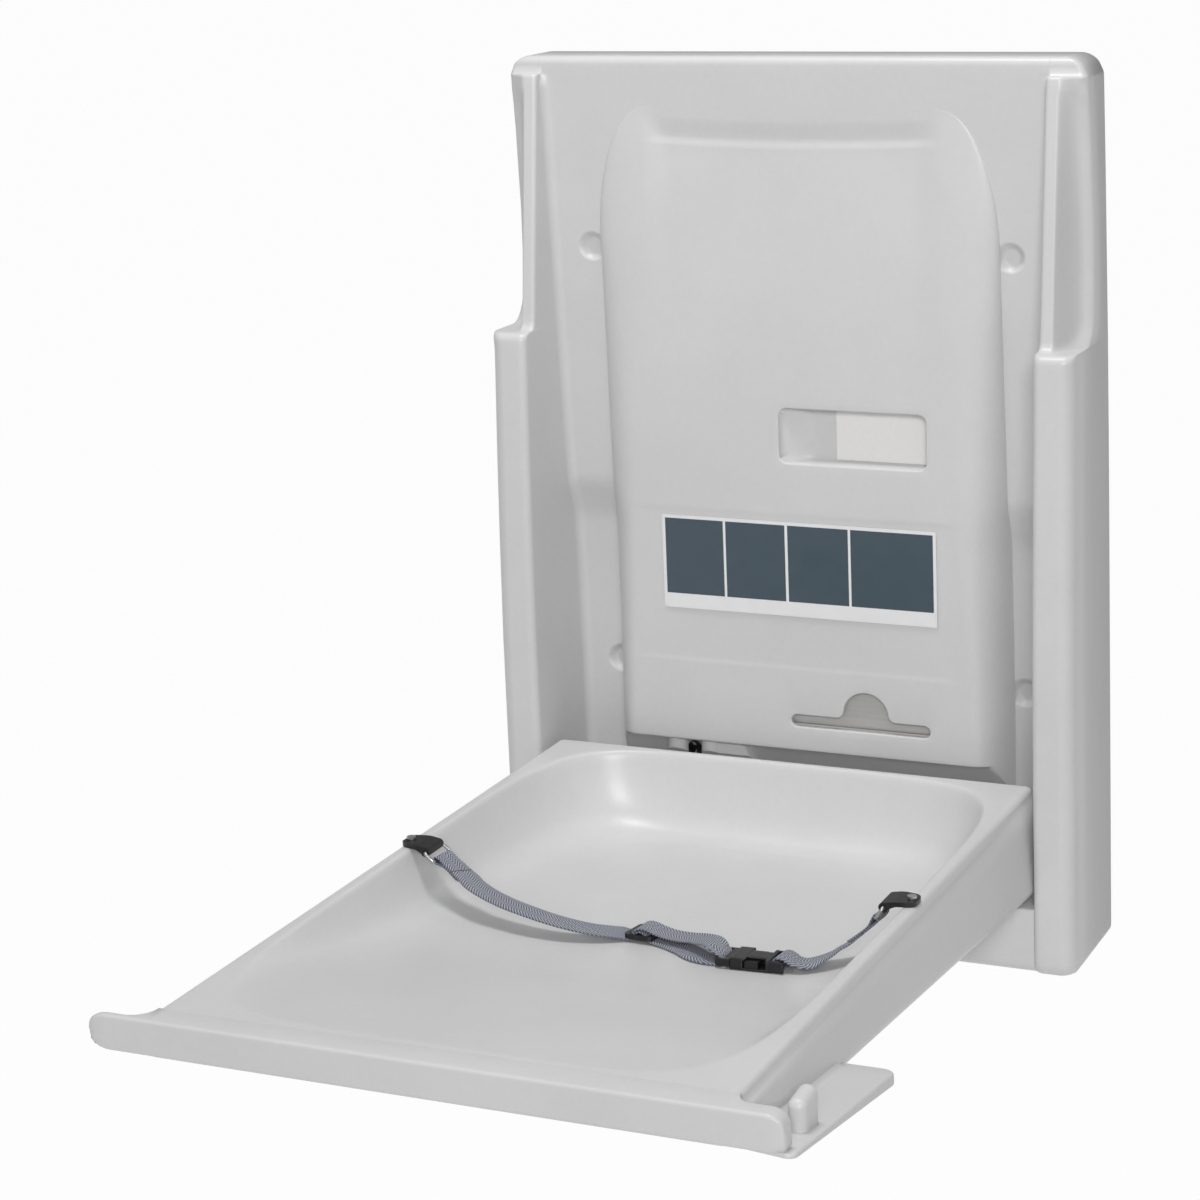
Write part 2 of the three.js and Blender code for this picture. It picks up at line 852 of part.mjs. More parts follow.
// Basin as rings from above the rim down to the floor; grow is its skin.
function basinForm(grow) {
  const middle = -(basinRear + basinFront) / 2;
  const halfLength = (basinFront - basinRear) / 2;
  const power = 2 / basinSquareness;
  const rings = basinProfile.map(([share, inset]) => {
    const points = [];
    for (let i = 0; i < basinSteps; i += 1) {
      const angle = (2 * Math.PI * i) / basinSteps;
      const c = Math.cos(angle);
      const s = Math.sin(angle);
      const x = Math.sign(c) * Math.abs(c) ** power * (basinHalf - inset + grow);
      const y = middle + Math.sign(s) * Math.abs(s) ** power * (halfLength - inset + grow);
      const depth = railZ - basinFloorZ(y) + grow;
      points.push(new THREE.Vector3(x, y, railZ - share * depth));
    }
    return points;
  });
  return loft(rings.reverse());
}

function wingForm() {
  const front = lipY + lipLength / 2;
  const outer = halfWidth + wingOverhang;
  const side = outline([
    [wingY, undersideZ(wingY)],
    [wingY, undersideZ(wingY) + wingThickness, 2],
    [front, noseZ(front) + wingFrontThickness],
    [front - lipRound, noseZ(front - lipRound) + wingFrontThickness / 2],
    [front, noseZ(front)],
  ]);
  const plan = outline([
    [railHalf, wingY, 1],
    [outer, wingY, wingCorner],
    [outer, front - lipRound, wingCorner],
    [railHalf, front - lipRound, 1],
  ]);
  return prismX(side, railHalf, outer).intersect(prismZ(plan, 0, railZ));
}

function lipForm() {
  const rear = lipY + lipRear;
  const top = lipZ + lipHeight;
  const side = outline([
    [rear, noseZ(rear)],
    [rear, top],
    [lipY + skin / 2, top, lipRound],
    [lipY, lipZ, lipRound],
  ]);
  const face = outline([
    [-halfWidth, lipZ - skin, lipRound],
    [lipRightEnd, lipZ - skin, lipRound],
    [lipRightEnd, top, lipEndRound],
    [-halfWidth, top, lipRound],
  ]);
  const plan = outline([
    [-halfWidth, lipY, lipRound],
    [lipRightEnd, lipY, lipEndRound],
    [lipRightEnd, rear, lipRound],
    [-halfWidth, rear, lipRound],
  ]);
  return prismX(side, -halfWidth, lipRightEnd)
    .intersect(prismY(face, lipY - skin, rear + skin))
    .intersect(prismZ(plan, 0, railZ));
}

function postForm() {
  const x1 = halfWidth - postInset;
  const x0 = x1 - postWidth;
  const y0 = -(hingeDepth + postReach) - postLength / 2;
  const y1 = y0 + postLength;
  const foot = noseZ(y0) + 2;
  const plan = outline([[x0, y0, postRound], [x1, y0, postRound], [x1, y1, postRound], [x0, y1, postRound]]);
  const side = outline([
    [y1, foot],
    [y1, foot + postHeight + skin, postRound],
    [y0, foot + postHeight, postRound],
    [y0, foot],
  ]);
  return prismZ(plan, foot, railZ).intersect(prismX(side, x0 - 1, x1 + 1));
}

function rodCut() {
  return barX(rodRadius + seatGap, -halfWidth, halfWidth, -hingeDepth, hingeHeight);
}

function makeBedShell() {
  const under = box(-bodyWidth, bodyWidth, lipY - skin, 0, 0, partingZ - seatGap);
  const outer = join(
    bedForm(0, railZ).intersect(under),
    bothSides(wingForm()).intersect(under),
    lipForm(),
    postForm(),
  );
  return cut(outer, bedForm(skin, railZ + skin), rodCut());
}

function makeBedDeck() {
  const over = box(-halfWidth, halfWidth, lipY - skin, 0, partingZ, railZ + skin);
  const rim = bedForm(0, railZ).intersect(over);
  const below = box(-halfWidth, halfWidth, lipY, 0, 0, partingZ + 1);
  const dish = basinForm(skin).intersect(below);
  const holes = bothSides(
    barZ(anchorScrewRadius + seatGap, partingZ - skin, railZ + skin, anchorScrewX, strapY, 12),
  );
  return cut(join(rim, dish), basinForm(0), holes);
}

// Strap anchors: a pad screwed to the rail, bent down to an eye inside the basin
const anchorOuterX = railHalf - anchorOuterInset;
const anchorZ = railZ + seatGap;
const anchorTopZ = anchorZ + anchorThickness;
const anchorEyeX = railHalf - anchorEyeReach;
const anchorEyeZ = railZ - anchorEyeDrop;
const anchorScrewX = (anchorOuterX + basinHalf) / 2;

function makeAnchor() {
  const half = anchorWidth / 2;
  const tip = anchorTip / 2;
  const padX = anchorOuterX - anchorPad;
  const side = outline([
    [anchorOuterX, anchorZ],
    [anchorOuterX, anchorTopZ, 1.5],
    [padX, anchorTopZ, 3],
    [anchorEyeX, anchorEyeZ + anchorEye],
    [anchorEyeX, anchorEyeZ - anchorEye],
    [padX, anchorZ, 3],
  ]);
  const plan = outline([
    [anchorEyeX - anchorEye, strapY - half],
    [padX, strapY - half, 4],
    [anchorOuterX, strapY - tip, 8],
    [anchorOuterX, strapY + tip, 8],
    [padX, strapY + half, 4],
    [anchorEyeX - anchorEye, strapY + half],
  ]);
  const profile = join(
    prismY(side, strapY - half, strapY + half),
    barY(anchorEye, strapY - half, strapY + half, anchorEyeX, anchorEyeZ, 16),
  );
  const bore = barY(ringWire + runningGap, strapY - anchorWidth, strapY + anchorWidth, anchorEyeX, anchorEyeZ, 12);
  const hole = barZ(anchorScrewRadius + seatGap, railZ - skin, railZ + 2 * skin, anchorScrewX, strapY, 12);
  return cut(profile.intersect(prismZ(plan, partingZ - skin, railZ + 2 * skin)), bore, hole);
}

function makeAnchorScrew() {
  const seat = anchorTopZ + seatGap;
  return join(
    barZ(anchorScrewRadius, seat - anchorScrewLength, seat + 1, anchorScrewX, strapY, 10),
    barZ(anchorScrewHead, seat, seat + 2, anchorScrewX, strapY, 14),
  );
}

// Wire ring on the right: one side turns in the anchor's eye, the other side holds the webbing.
function ringBarX(drop) {
  return anchorEyeX - ringLength * Math.cos(drop);
}

function ringBarZ(drop) {
  return anchorEyeZ - ringLength * Math.sin(drop);
}

function makeRing(drop) {
  const half = anchorWidth / 2 + ringWire + runningGap;
  const crossBar = (x, z) => barY(ringWire, strapY - half - ringWire, strapY + half + ringWire, x, z, 8);
  const arm = (y) => {
    const geometry = new THREE.CylinderGeometry(ringWire, ringWire, ringLength, 8);
    geometry.rotateZ(Math.PI / 2).rotateY(-drop);
    return solid(geometry.translate((anchorEyeX + ringBarX(drop)) / 2, y, (anchorEyeZ + ringBarZ(drop)) / 2));
  };
  return join(
    crossBar(anchorEyeX, anchorEyeZ),
    crossBar(ringBarX(drop), ringBarZ(drop)),
    arm(strapY - half),
    arm(strapY + half),
  );
}

// Places along the strap: the buckle and the adjuster are measured from the right eye.
const buckleX = anchorEyeX - buckleFromEye;
const glideX = buckleX - glideFromBuckle;

// Routes of the strap, from the rings down to the basin floor and the buckle. A point is given
// by x, by its place in front of the anchors and by its height over the hinge.
const ringExit = ringWire + seatGap;

function strapPoint(x, forward, rise) {
  return [x, strapY - forward, hingeHeight + rise];
}

const slopeFoot = 97 - anchorEyeX;
const floorEnd = glideX - 49;
const leftRoute = [
  [ringExit - ringBarX(ringDropLeft), strapY, ringBarZ(ringDropLeft) - ringExit / 2],
  strapPoint(20 - anchorEyeX, 0, 64.5),
  strapPoint(31 - anchorEyeX, 1, 56.4),
  strapPoint(49 - anchorEyeX, 6, 48),
  strapPoint(71 - anchorEyeX, 9, 41),
  strapPoint(slopeFoot, 14, 37),
  strapPoint((slopeFoot + floorEnd) / 2 - 0.5, 19, 33.8),
  strapPoint(floorEnd, 22, 32),
  strapPoint(glideX - 15, 20, 32.6),
];
const upperLoopRoute = [
  strapPoint(glideX + 14.2, 19.5, 33.4),
  strapPoint(glideX + 24, 20.5, 34),
  strapPoint(glideX + 38, 24, 35.6),
  strapPoint(glideX + 56, 31, 40),
  strapPoint(glideX + 69, 40, 42.6),
  strapPoint(glideX + 77, 47, 42.4),
  strapPoint(glideX + 86, 48, 41),
];
const lowerLoopRoute = [
  strapPoint(glideX + 14.5, 23, 29.8),
  strapPoint(glideX + 26, 26, 29.9),
  strapPoint(glideX + 44, 36, 30.6),
  strapPoint(glideX + 58, 47, 31.6),
  strapPoint(glideX + 69, 51.2, 32.6),
  strapPoint(glideX + 79.2, 51, 33.6),
];
const rightRoute = [
  strapPoint(buckleX + 45.4, 46.2, 35.4),
  strapPoint(buckleX + 52, 45.6, 35),
  strapPoint(anchorEyeX - 52, 36, 34.6),
  strapPoint(anchorEyeX - 41, 22, 38),
  strapPoint(anchorEyeX - 29, 10, 45.4),
  strapPoint(anchorEyeX - 18.5, 3, 53.6),
  strapPoint(anchorEyeX - 12, 0, 60),
  [ringBarX(ringDropRight) - ringExit / 2, strapY, ringBarZ(ringDropRight) - ringExit],
];

// Buckle parts share a frame: u along the strap, v across it, w through its thickness.
const buckle = new THREE.Group();
const buckleY = -(hingeDepth + buckleReach);
const buckleZ = basinFloorZ(buckleY) + buckleThickness / 2 + 2 * seatGap;
buckle.position.set(buckleX, buckleY, buckleZ);
buckle.rotation.set(-wedge, 0, buckleTurn, "XZY");

function makeFemale() {
  const half = buckleWidth / 2;
  const high = buckleThickness / 2;
  const inner = half - femaleWall;
  const room = maleThickness / 2 - seatGap / 2;
  const body = prismZ(
    outline([[0, -half, 2], [femaleLength, -half, 5], [femaleLength, half, 5], [0, half, 2]]),
    -high,
    high,
  );
  const barEnd = femaleLength - femaleWall;
  return cut(
    body,
    box(-1, femaleMouth, -inner, inner, -room, room),
    box(windowStart, windowEnd, -half - 1, half + 1, -room, room),
    box(femaleMouth + femaleWall, barEnd - glideBar, -webbingWidth / 2 - 1, webbingWidth / 2 + 1, -high - 1, high + 1),
  );
}

function makeMale() {
  const half = buckleWidth / 2;
  const high = maleThickness / 2;
  const slot = webbingWidth / 2 + 1;
  const thin = high - 2 * seatGap;
  return cut(
    join(
      prismZ(
        outline([[-maleLength - seatGap, -half, 4], [-seatGap, -half], [-seatGap, half], [-maleLength - seatGap, half, 4]]),
        -high,
        high,
      ),
      box(-1, tongueLength, -tongueHalf, tongueHalf, -thin, thin),
    ),
    box(-maleLength + glideBar - 1, -glideBar - 1, -slot, slot, -high - 1, high + 1),
  );
}

function makeProng() {
  const thin = maleThickness / 2 - 2 * seatGap;
  const outer = prongInner + prongThickness;
  const plan = outline([
    [prongRootGap - seatGap, prongInner + 1, 1],
    [prongLength, prongInner, 1],
    [prongLength, outer, 1],
    [windowEnd - 2 * seatGap - 2, prongHead, 1],
    [prongHeadStart, prongHead, 1],
    [prongHeadStart - 1, outer],
    [prongRootGap - seatGap, outer],
  ]);
  return prismZ(plan, -thin, thin);
}

// Strap adjuster: a frame with a middle bar that the webbing weaves over.
function makeGlide() {
  const halfU = glideLength / 2;
  const halfV = glideWidth / 2;
  const slotV = webbingWidth / 2 + 0.8;
  const frame = prismZ(
    outline([[-halfU, -halfV, 4], [halfU, -halfV, 4], [halfU, halfV, 4], [-halfU, halfV, 4]]),
    -glideThickness / 2,
    glideThickness / 2,
  );
  const opening = (u0, u1) => box(u0, u1, -slotV, slotV, -glideThickness, glideThickness);
  return cut(
    frame,
    opening(-halfU + glideBar, -glideBar / 2),
    opening(glideBar / 2, halfU - glideBar),
  );
}

// Damper in the left pillar, worked by a lever on the hinge rod.
const damperX = -(halfWidth - skin - damperRadius - 5.5);
const leverAngle = closingAngle / 2;
const leverPinY = -hingeDepth + leverRadius * Math.cos(leverAngle);
const leverPinZ = hingeHeight + leverRadius * Math.sin(leverAngle);
const pinSweep = leverRadius * (1 - Math.cos(leverAngle));
const damperY = leverPinY + pinSweep / 2;
const eyeX0 = damperX - eyeThickness / 2;
const eyeX1 = damperX + eyeThickness / 2;
const leverX1 = eyeX0 - 1.5;
const leverX0 = leverX1 - leverThickness;
const upperPinZ = damperFoot + damperLength + damperEye / 2 - damperEyeSink;

function makeLever() {
  const dy = Math.cos(leverAngle);
  const dz = Math.sin(leverAngle);
  const y = (along, across) => -hingeDepth + along * dy - across * dz;
  const z = (along, across) => hingeHeight + along * dz + across * dy;
  const arm = outline([
    [y(0, -leverHub + 3), z(0, -leverHub + 3)],
    [y(leverRadius, -leverTip), z(leverRadius, -leverTip)],
    [y(leverRadius, leverTip), z(leverRadius, leverTip)],
    [y(0, leverHub - 3), z(0, leverHub - 3)],
  ]);
  return cut(
    join(
      prismX(arm, leverX0, leverX1),
      barX(leverHub, leverX0, leverX1, -hingeDepth, hingeHeight, 24),
      barX(leverTip, leverX0, leverX1, leverPinY, leverPinZ, 16),
    ),
    barX(rodRadius + seatGap, leverX0 - 1, leverX1 + 1, -hingeDepth, hingeHeight),
    barX(pinRadius + seatGap, leverX0 - 1, leverX1 + 1, leverPinY, leverPinZ, 16),
  );
}

function makeLeverPin() {
  return barX(pinRadius, leverX0 - 1, eyeX1 + 1, leverPinY, leverPinZ, 16);
}

function makeDamperRod() {
  const slotHalf = pinSweep / 2 + pinRadius + runningGap;
  const slotHigh = pinRadius + eyeSlotSpare;
  const half = slotHalf + 5;
  const high = eyeHeight / 2;
  const eye = outline([
    [damperY - half, leverPinZ - high, 5],
    [damperY + half, leverPinZ - high, 5],
    [damperY + half, leverPinZ + high, 5],
    [damperY - half, leverPinZ + high, 5],
  ]);
  const slot = outline([
    [damperY - slotHalf, leverPinZ - slotHigh, 2],
    [damperY + slotHalf, leverPinZ - slotHigh, 2],
    [damperY + slotHalf, leverPinZ + slotHigh, 2],
    [damperY - slotHalf, leverPinZ + slotHigh, 2],
  ]);
  const top = leverPinZ + high;
  return join(
    prismX(eye, eyeX0, eyeX1).subtract(prismX(slot, eyeX0 - 1, eyeX1 + 1)),
    barZ(damperRodRadius, top - 2, top + damperRodLength, damperX, damperY, 14),
  );
}

function makeDamperCylinder() {
  const top = damperFoot + damperLength;
  const eye = damperEye / 2;
  return cut(
    join(
      barZ(damperRadius, damperFoot, top, damperX, damperY, 20),
      barX(eye, damperX - eyeThickness, damperX + eyeThickness, damperY, upperPinZ, 20),
    ),
    barZ(damperRodRadius + runningGap, damperFoot - 1, top - skin, damperX, damperY, 14),
    barX(pinRadius + runningGap, damperX - damperRadius, damperX + damperRadius, damperY, upperPinZ, 16),
  );
}

const bracketX1 = damperX - eyeThickness - seatGap;
const bracketX0 = bracketX1 - bracketThickness;

function makeDamperBracket() {
  const back = -backThickness - seatGap;
  const front = damperY - damperRadius - skin;
  const z0 = damperFoot + damperLength + runningGap;
  const z1 = z0 + bracketHeight;
  return cut(
    join(
      box(bracketX0, bracketX1, front, back, z0, z1),
      box(bracketX0, damperX + damperRadius, back - bracketThickness, back, z0, z1),
    ),
    barX(pinRadius + seatGap, bracketX0 - 1, bracketX1 + 1, damperY, upperPinZ, 16),
  );
}

function makeDamperPin() {
  return barX(pinRadius, bracketX0 - 1, damperX + eyeThickness + 2, damperY, upperPinZ, 16);
}

function makeStop() {
  const y = -apronDepth + stopFromFront + stopRadius;
  const top = undersideZ(y + stopRadius) - seatGap;
  return barZ(stopRadius, apronHeight + seatGap, top, stopX, y, 16);
}

// Wall unit
piece("wall_shell", leanIn(makeWallShell()), "moulding");
piece("back_panel", leanIn(makeBackPanel()), "back");
[-backScrewX, backScrewX].forEach((x, side) => {
  backScrewRows.forEach((z, row) => {
    piece(`back_screw_${side * backScrewRows.length + row + 1}`, makeBackScrew(x, z), "zinc");
  });
});
piece("liner_holder", makeLinerHolder(), "nylon");
piece("liner_pack", makeLinerPack(), "paper");
piece("pocket_card", makeCard(), "paper");
piece("label_plate", makeLabel(), "label");
piece("hinge_bush_right", makeBush(), "nylon");
piece("hinge_bush_left", mirrored(makeBush()), "nylon");
piece("bed_stop_right", makeStop(), "rubber");
piece("bed_stop_left", mirrored(makeStop()), "rubber");
piece("damper_bracket", makeDamperBracket(), "zinc");
piece("damper_pin", makeDamperPin(), "steel");
piece("damper_cylinder", makeDamperCylinder(), "black");
piece("damper_rod", makeDamperRod(), "steel");

// Bed
const rodEnd = halfWidth - skin - seatGap;
piece("hinge_rod", barX(rodRadius, -rodEnd, rodEnd, -hingeDepth, hingeHeight, 24), "steel");
piece("hinge_saddle_right", makeSaddle(), "nylon");
piece("hinge_saddle_left", mirrored(makeSaddle()), "nylon");
piece("damper_lever", makeLever(), "zinc");
piece("lever_pin", makeLeverPin(), "steel");
piece("bed_shell", makeBedShell(), "moulding");
piece("bed_deck", makeBedDeck(), "moulding");

// Safety strap
piece("strap_anchor_right", makeAnchor(), "black");
piece("strap_anchor_left", mirrored(makeAnchor()), "black");
piece("anchor_screw_right", makeAnchorScrew(), "zinc");
piece("anchor_screw_left", mirrored(makeAnchorScrew()), "zinc");
piece("strap_ring_right", makeRing(ringDropRight), "steel");
piece("strap_ring_left", mirrored(makeRing(ringDropLeft)), "steel");
piece("webbing_left", ribbon(leftRoute, webbingWidth, webbingThickness, 16), "webbing");
piece("webbing_loop_upper", ribbon(upperLoopRoute, webbingWidth, webbingThickness, 8), "webbing");
piece("webbing_loop_lower", ribbon(lowerLoopRoute, webbingWidth, webbingThickness, 8), "webbing");
piece("webbing_right", ribbon(rightRoute, webbingWidth, webbingThickness, 12), "webbing");
const glide = piece("strap_adjuster", makeGlide(), "black");
const glideY = -(hingeDepth + glideReach);
glide.position.set(glideX, glideY, basinFloorZ(glideY) + glideLift);
glide.rotation.set(-wedge, 0, glideTurn, "XZY");
station.add(buckle);
piece("buckle_female", makeFemale(), "black", buckle);
piece("buckle_male", makeMale(), "black", buckle);
piece("buckle_prong_rear", makeProng(), "black", buckle);
piece("buckle_prong_front", mirrored(makeProng(), [1, -1, 1]), "black", buckle);

export default station;
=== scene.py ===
import bpy
import bmesh
import json
import math
import numpy as np
from mathutils import Matrix, Vector


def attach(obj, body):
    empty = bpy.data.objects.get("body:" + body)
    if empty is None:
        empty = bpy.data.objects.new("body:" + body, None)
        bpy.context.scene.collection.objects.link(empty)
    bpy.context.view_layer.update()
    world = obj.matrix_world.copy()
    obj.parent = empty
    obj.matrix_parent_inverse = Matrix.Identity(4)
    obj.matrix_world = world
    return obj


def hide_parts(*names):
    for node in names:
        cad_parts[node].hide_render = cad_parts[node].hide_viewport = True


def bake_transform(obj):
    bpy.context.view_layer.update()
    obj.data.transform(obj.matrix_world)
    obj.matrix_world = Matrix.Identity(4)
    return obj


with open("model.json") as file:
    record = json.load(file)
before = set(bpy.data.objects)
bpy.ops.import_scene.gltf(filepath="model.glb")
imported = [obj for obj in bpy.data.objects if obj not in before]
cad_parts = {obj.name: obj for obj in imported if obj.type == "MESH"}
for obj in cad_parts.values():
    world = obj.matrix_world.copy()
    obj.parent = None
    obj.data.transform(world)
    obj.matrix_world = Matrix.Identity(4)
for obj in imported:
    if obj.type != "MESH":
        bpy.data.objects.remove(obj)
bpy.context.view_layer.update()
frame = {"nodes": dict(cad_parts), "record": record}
nodes = frame["nodes"]
print("frame:", len(nodes), "nodes")

# All shapes below are in millimetres, with heights from the foot of the wall unit,
# and go into their meshes in metres about the middle of the wall face.
footToMiddle = 406.0
tiny = 1e-4


def smoothStep(t):
    # 0 below t = 0, 1 above t = 1, and 3tt - 2ttt between
    t = np.clip(t, 0.0, 1.0)
    return t * t * (3 - 2 * t)


def roundDrop(r, d):
    # how far a rounded edge of radius r has fallen at a distance d inside the edge: r - sqrt(rr - (r - d)(r - d))
    d = np.clip(d, 0.0, r)
    return r - np.sqrt(np.maximum(r * r - (r - d) ** 2, 0.0))


def softMax(a, b, k):
    # the larger of a and b, with a fillet of size k where they are equal
    h = np.clip(k - np.abs(a - b), 0.0, None)
    return np.maximum(a, b) + h * h / (4 * k)


def arcSteps(r, count):
    # distances from an edge at equal angles of a rounding of radius r: r(1 - cos)
    return r * (1 - np.cos(np.linspace(0, np.pi / 2, count)))


def gridFaces(rows, cols, loop=False):
    # corner numbers of the squares of a grid, row after row; loop joins the last column to the first
    index = np.arange(rows * cols).reshape(rows, cols)
    if loop:
        index = np.concatenate([index, index[:, :1]], axis=1)
    a, b, c, d = index[:-1, :-1], index[:-1, 1:], index[1:, 1:], index[1:, :-1]
    return np.stack([a, b, c, d], axis=-1).reshape(-1, 4)


def makePiece(name, parts, body, weld=0.0, flat=None, uv=None, flip=False):
    # one mesh from parts of (points, faces) in millimetres, welded, shaded smooth and set on its body
    points, faces, start = [], [], 0
    for p, q in parts:
        points.append(np.asarray(p, float).reshape(-1, 3))
        faces.append(np.asarray(q) + start)
        start += len(points[-1])
    co = np.concatenate(points) * 0.001
    co[:, 2] -= footToMiddle * 0.001
    mesh = bpy.data.meshes.new(name)
    mesh.from_pydata(co.tolist(), [], [row for part in faces for row in part.tolist()])
    if uv is not None:
        corners = np.zeros(len(mesh.loops), np.int32)
        mesh.loops.foreach_get("vertex_index", corners)
        layer = mesh.uv_layers.new(name="weave")
        layer.data.foreach_set("uv", np.asarray(uv, np.float32).reshape(-1, 2)[corners].ravel())
    if weld or flip:
        loose = bmesh.new()
        loose.from_mesh(mesh)
        if weld:
            bmesh.ops.remove_doubles(loose, verts=loose.verts, dist=weld * 0.001)
        if flip:
            bmesh.ops.reverse_faces(loose, faces=loose.faces)
        loose.to_mesh(mesh)
        loose.free()
    mesh.validate()
    mesh.polygons.foreach_set("use_smooth", np.ones(len(mesh.polygons), bool))
    if flat:
        mesh.set_sharp_from_angle(angle=math.radians(flat))
    mesh.update()
    piece = bpy.data.objects.new(name, mesh)
    bpy.context.scene.collection.objects.link(piece)
    if body:
        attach(piece, body)
    return piece


# ---- finishes


class Wire:
    # a socket of a finish: + - * / ** with wires or numbers add Math nodes
    def __init__(self, tree, socket):
        self.tree, self.socket = tree, socket

    def node(self, kind, settings=None, out=0, **inputs):
        # any node: settings first, then values or wires by socket name, or by number as s0, s1...
        made = self.tree.nodes.new(kind)
        for key, value in (settings or {}).items():
            if key == "stops":
                ramp = made.color_ramp
                while len(ramp.elements) < len(value):
                    ramp.elements.new(0.5)
                for stop, (place, colour) in zip(ramp.elements, value):
                    stop.position, stop.color = place, colour
            else:
                setattr(made, key, value)
        for key, value in inputs.items():
            number = key[1:].isdigit() and key[0] == "s"
            socket = made.inputs[int(key[1:]) if number else key.replace("_", " ")]
            if isinstance(value, Wire):
                self.tree.links.new(value.socket, socket)
            else:
                socket.default_value = value
        return Wire(self.tree, made.outputs[out])

    def math(self, operation, a, b=0.0, c=0.0):
        return self.node("ShaderNodeMath", {"operation": operation}, s0=a, s1=b, s2=c)

    def __add__(self, other):
        return self.math("ADD", self, other)

    __radd__ = __add__

    def __sub__(self, other):
        return self.math("SUBTRACT", self, other)

    def __rsub__(self, other):
        return self.math("SUBTRACT", other, self)

    def __mul__(self, other):
        return self.math("MULTIPLY", self, other)

    __rmul__ = __mul__

    def __truediv__(self, other):
        return self.math("DIVIDE", self, other)

    def __rtruediv__(self, other):
        return self.math("DIVIDE", other, self)

    def __pow__(self, other):
        return self.math("POWER", self, other)

    def above(self, level):
        return self.math("GREATER_THAN", self, level)

    def sine(self):
        return self.math("SINE", self)

    def mix(self, low, high):
        # colour low where this wire is 0, high where it is 1
        return self.node("ShaderNodeMix", {"data_type": "RGBA"}, out=2, s0=self, s6=low, s7=high)


def grey(level, warm=0.0):
    # linear colour of a screen grey from 0 to 255, a little warmer or cooler
    rgb = [max(level + warm, 0) / 255, level / 255, max(level - warm, 0) / 255]
    return tuple(c / 12.92 if c < 0.04045 else ((c + 0.055) / 1.055) ** 2.4 for c in rgb) + (1.0,)


def newFinish(name):
    # an empty finish: its tree as a wire to build on, and its shader
    material = bpy.data.materials.new(name)
    material.use_nodes = True
    shader = material.node_tree.nodes["Principled BSDF"]
    start = Wire(material.node_tree, shader.outputs[0])
    return material, start, shader


def plug(wire, shader, socket):
    wire.tree.links.new(wire.socket, shader.inputs[socket])


def place(start, scale=(1, 1, 1), turn=(0, 0, 0)):
    # object coordinates in metres, scaled and turned
    coordinates = start.node("ShaderNodeTexCoord", out=3)
    return start.node("ShaderNodeMapping", Vector=coordinates, Scale=scale, Rotation=turn)


def noise(start, at, scale, detail=2.0, rough=0.5):
    return start.node("ShaderNodeTexNoise", Vector=at, Scale=scale, Detail=detail, Roughness=rough)


def bump(start, shader, height, strength, distance):
    lifted = start.node("ShaderNodeBump", Strength=strength, Distance=distance, Height=height)
    plug(lifted, shader, "Normal")


def plasticFinish(name, level, warm=0.0, rough=0.5, grain=900, lift=0.00012, strength=0.25, mottle=5):
    # moulded plastic: fine pebble from the tool, slow mottle, scuffs that are a little shinier
    material, start, shader = newFinish(name)
    at = place(start)
    cloud = noise(start, at, 9.0, 3.0)
    fine = noise(start, at, 160.0, 2.0)
    shade = cloud * 0.7 + fine * 0.3
    ramp = start.node("ShaderNodeMapRange", Value=shade, s1=0.3, s2=0.7, s3=0.0, s4=1.0)
    plug(ramp.mix(grey(level - mottle, warm), grey(level + mottle, warm)), shader, "Base Color")
    pebble = start.node("ShaderNodeTexVoronoi", {"feature": "SMOOTH_F1"}, Vector=at, Scale=grain, Smoothness=0.6)
    scuff = noise(start, place(start, (1, 1, 0.25)), 35.0, 4.0, 0.65)
    plug(rough - 0.06 + scuff * 0.1 + cloud * 0.05, shader, "Roughness")
    bump(start, shader, pebble * 0.8 + noise(start, at, grain * 0.35) * 0.5, strength, lift)
    shader.inputs["Specular IOR Level"].default_value = 0.45
    return material


finishes = {
    "moulding": plasticFinish("moulding", 212, 0.0, 0.33, 850, 0.0002, 0.22, 3),
    "back": plasticFinish("back", 186, 0.0, 0.6, 500, 0.0002, 0.3, 5),
    "black": plasticFinish("black", 24, 0.0, 0.36, 2200, 0.00005, 0.35, 5),
    "rubber": plasticFinish("rubber", 42, 0.0, 0.78, 1400, 0.0001, 0.4, 5),
    "nylon": plasticFinish("nylon", 226, 2.0, 0.48, 1600, 0.00005, 0.2, 3),
}


def metalFinish(name, level, rough, streak):
    # drawn or plated metal: fine streaks along one way and slow patches in the gloss
    material, start, shader = newFinish(name)
    lines = noise(start, place(start, streak), 120.0, 3.0)
    patch = noise(start, place(start), 60.0, 2.0)
    plug(lines.mix(grey(level - 16), grey(level + 12, -1)), shader, "Base Color")
    plug(rough + lines * 0.12 + patch * 0.08, shader, "Roughness")
    bump(start, shader, lines, 0.12, 0.00003)
    shader.inputs["Metallic"].default_value = 1.0
    return material


finishes["steel"] = metalFinish("steel", 200, 0.2, (0.2, 6, 6))
finishes["zinc"] = metalFinish("zinc", 186, 0.32, (3, 3, 3))


def paperFinish(name, level, sheets):
    # paper: short fibres, and the edges of folded sheets as fine lines across the stack
    material, start, shader = newFinish(name)
    at = place(start)
    fibre = noise(start, place(start, (1, 1, 4)), 420.0, 4.0)
    tone = fibre
    if sheets:
        line = (start.node("ShaderNodeSeparateXYZ", out=2, Vector=at) * sheets).sine()
        tone = fibre * 0.6 + line * 0.08 + 0.2
        bump(start, shader, line + fibre * 0.4, 0.15, 0.0001)
    else:
        bump(start, shader, fibre, 0.12, 0.00008)
    plug(tone.mix(grey(level - 12, 1), grey(level + 6, 1)), shader, "Base Color")
    plug(0.82 + fibre * 0.12, shader, "Roughness")
    return material


finishes["paper"] = paperFinish("paper", 242, 0)
# the liners are the same paper as the card, greyed from 242 to 184: painted shade for the stack inside the slot
finishes["liners"] = paperFinish("liners", 184, 1200.0)

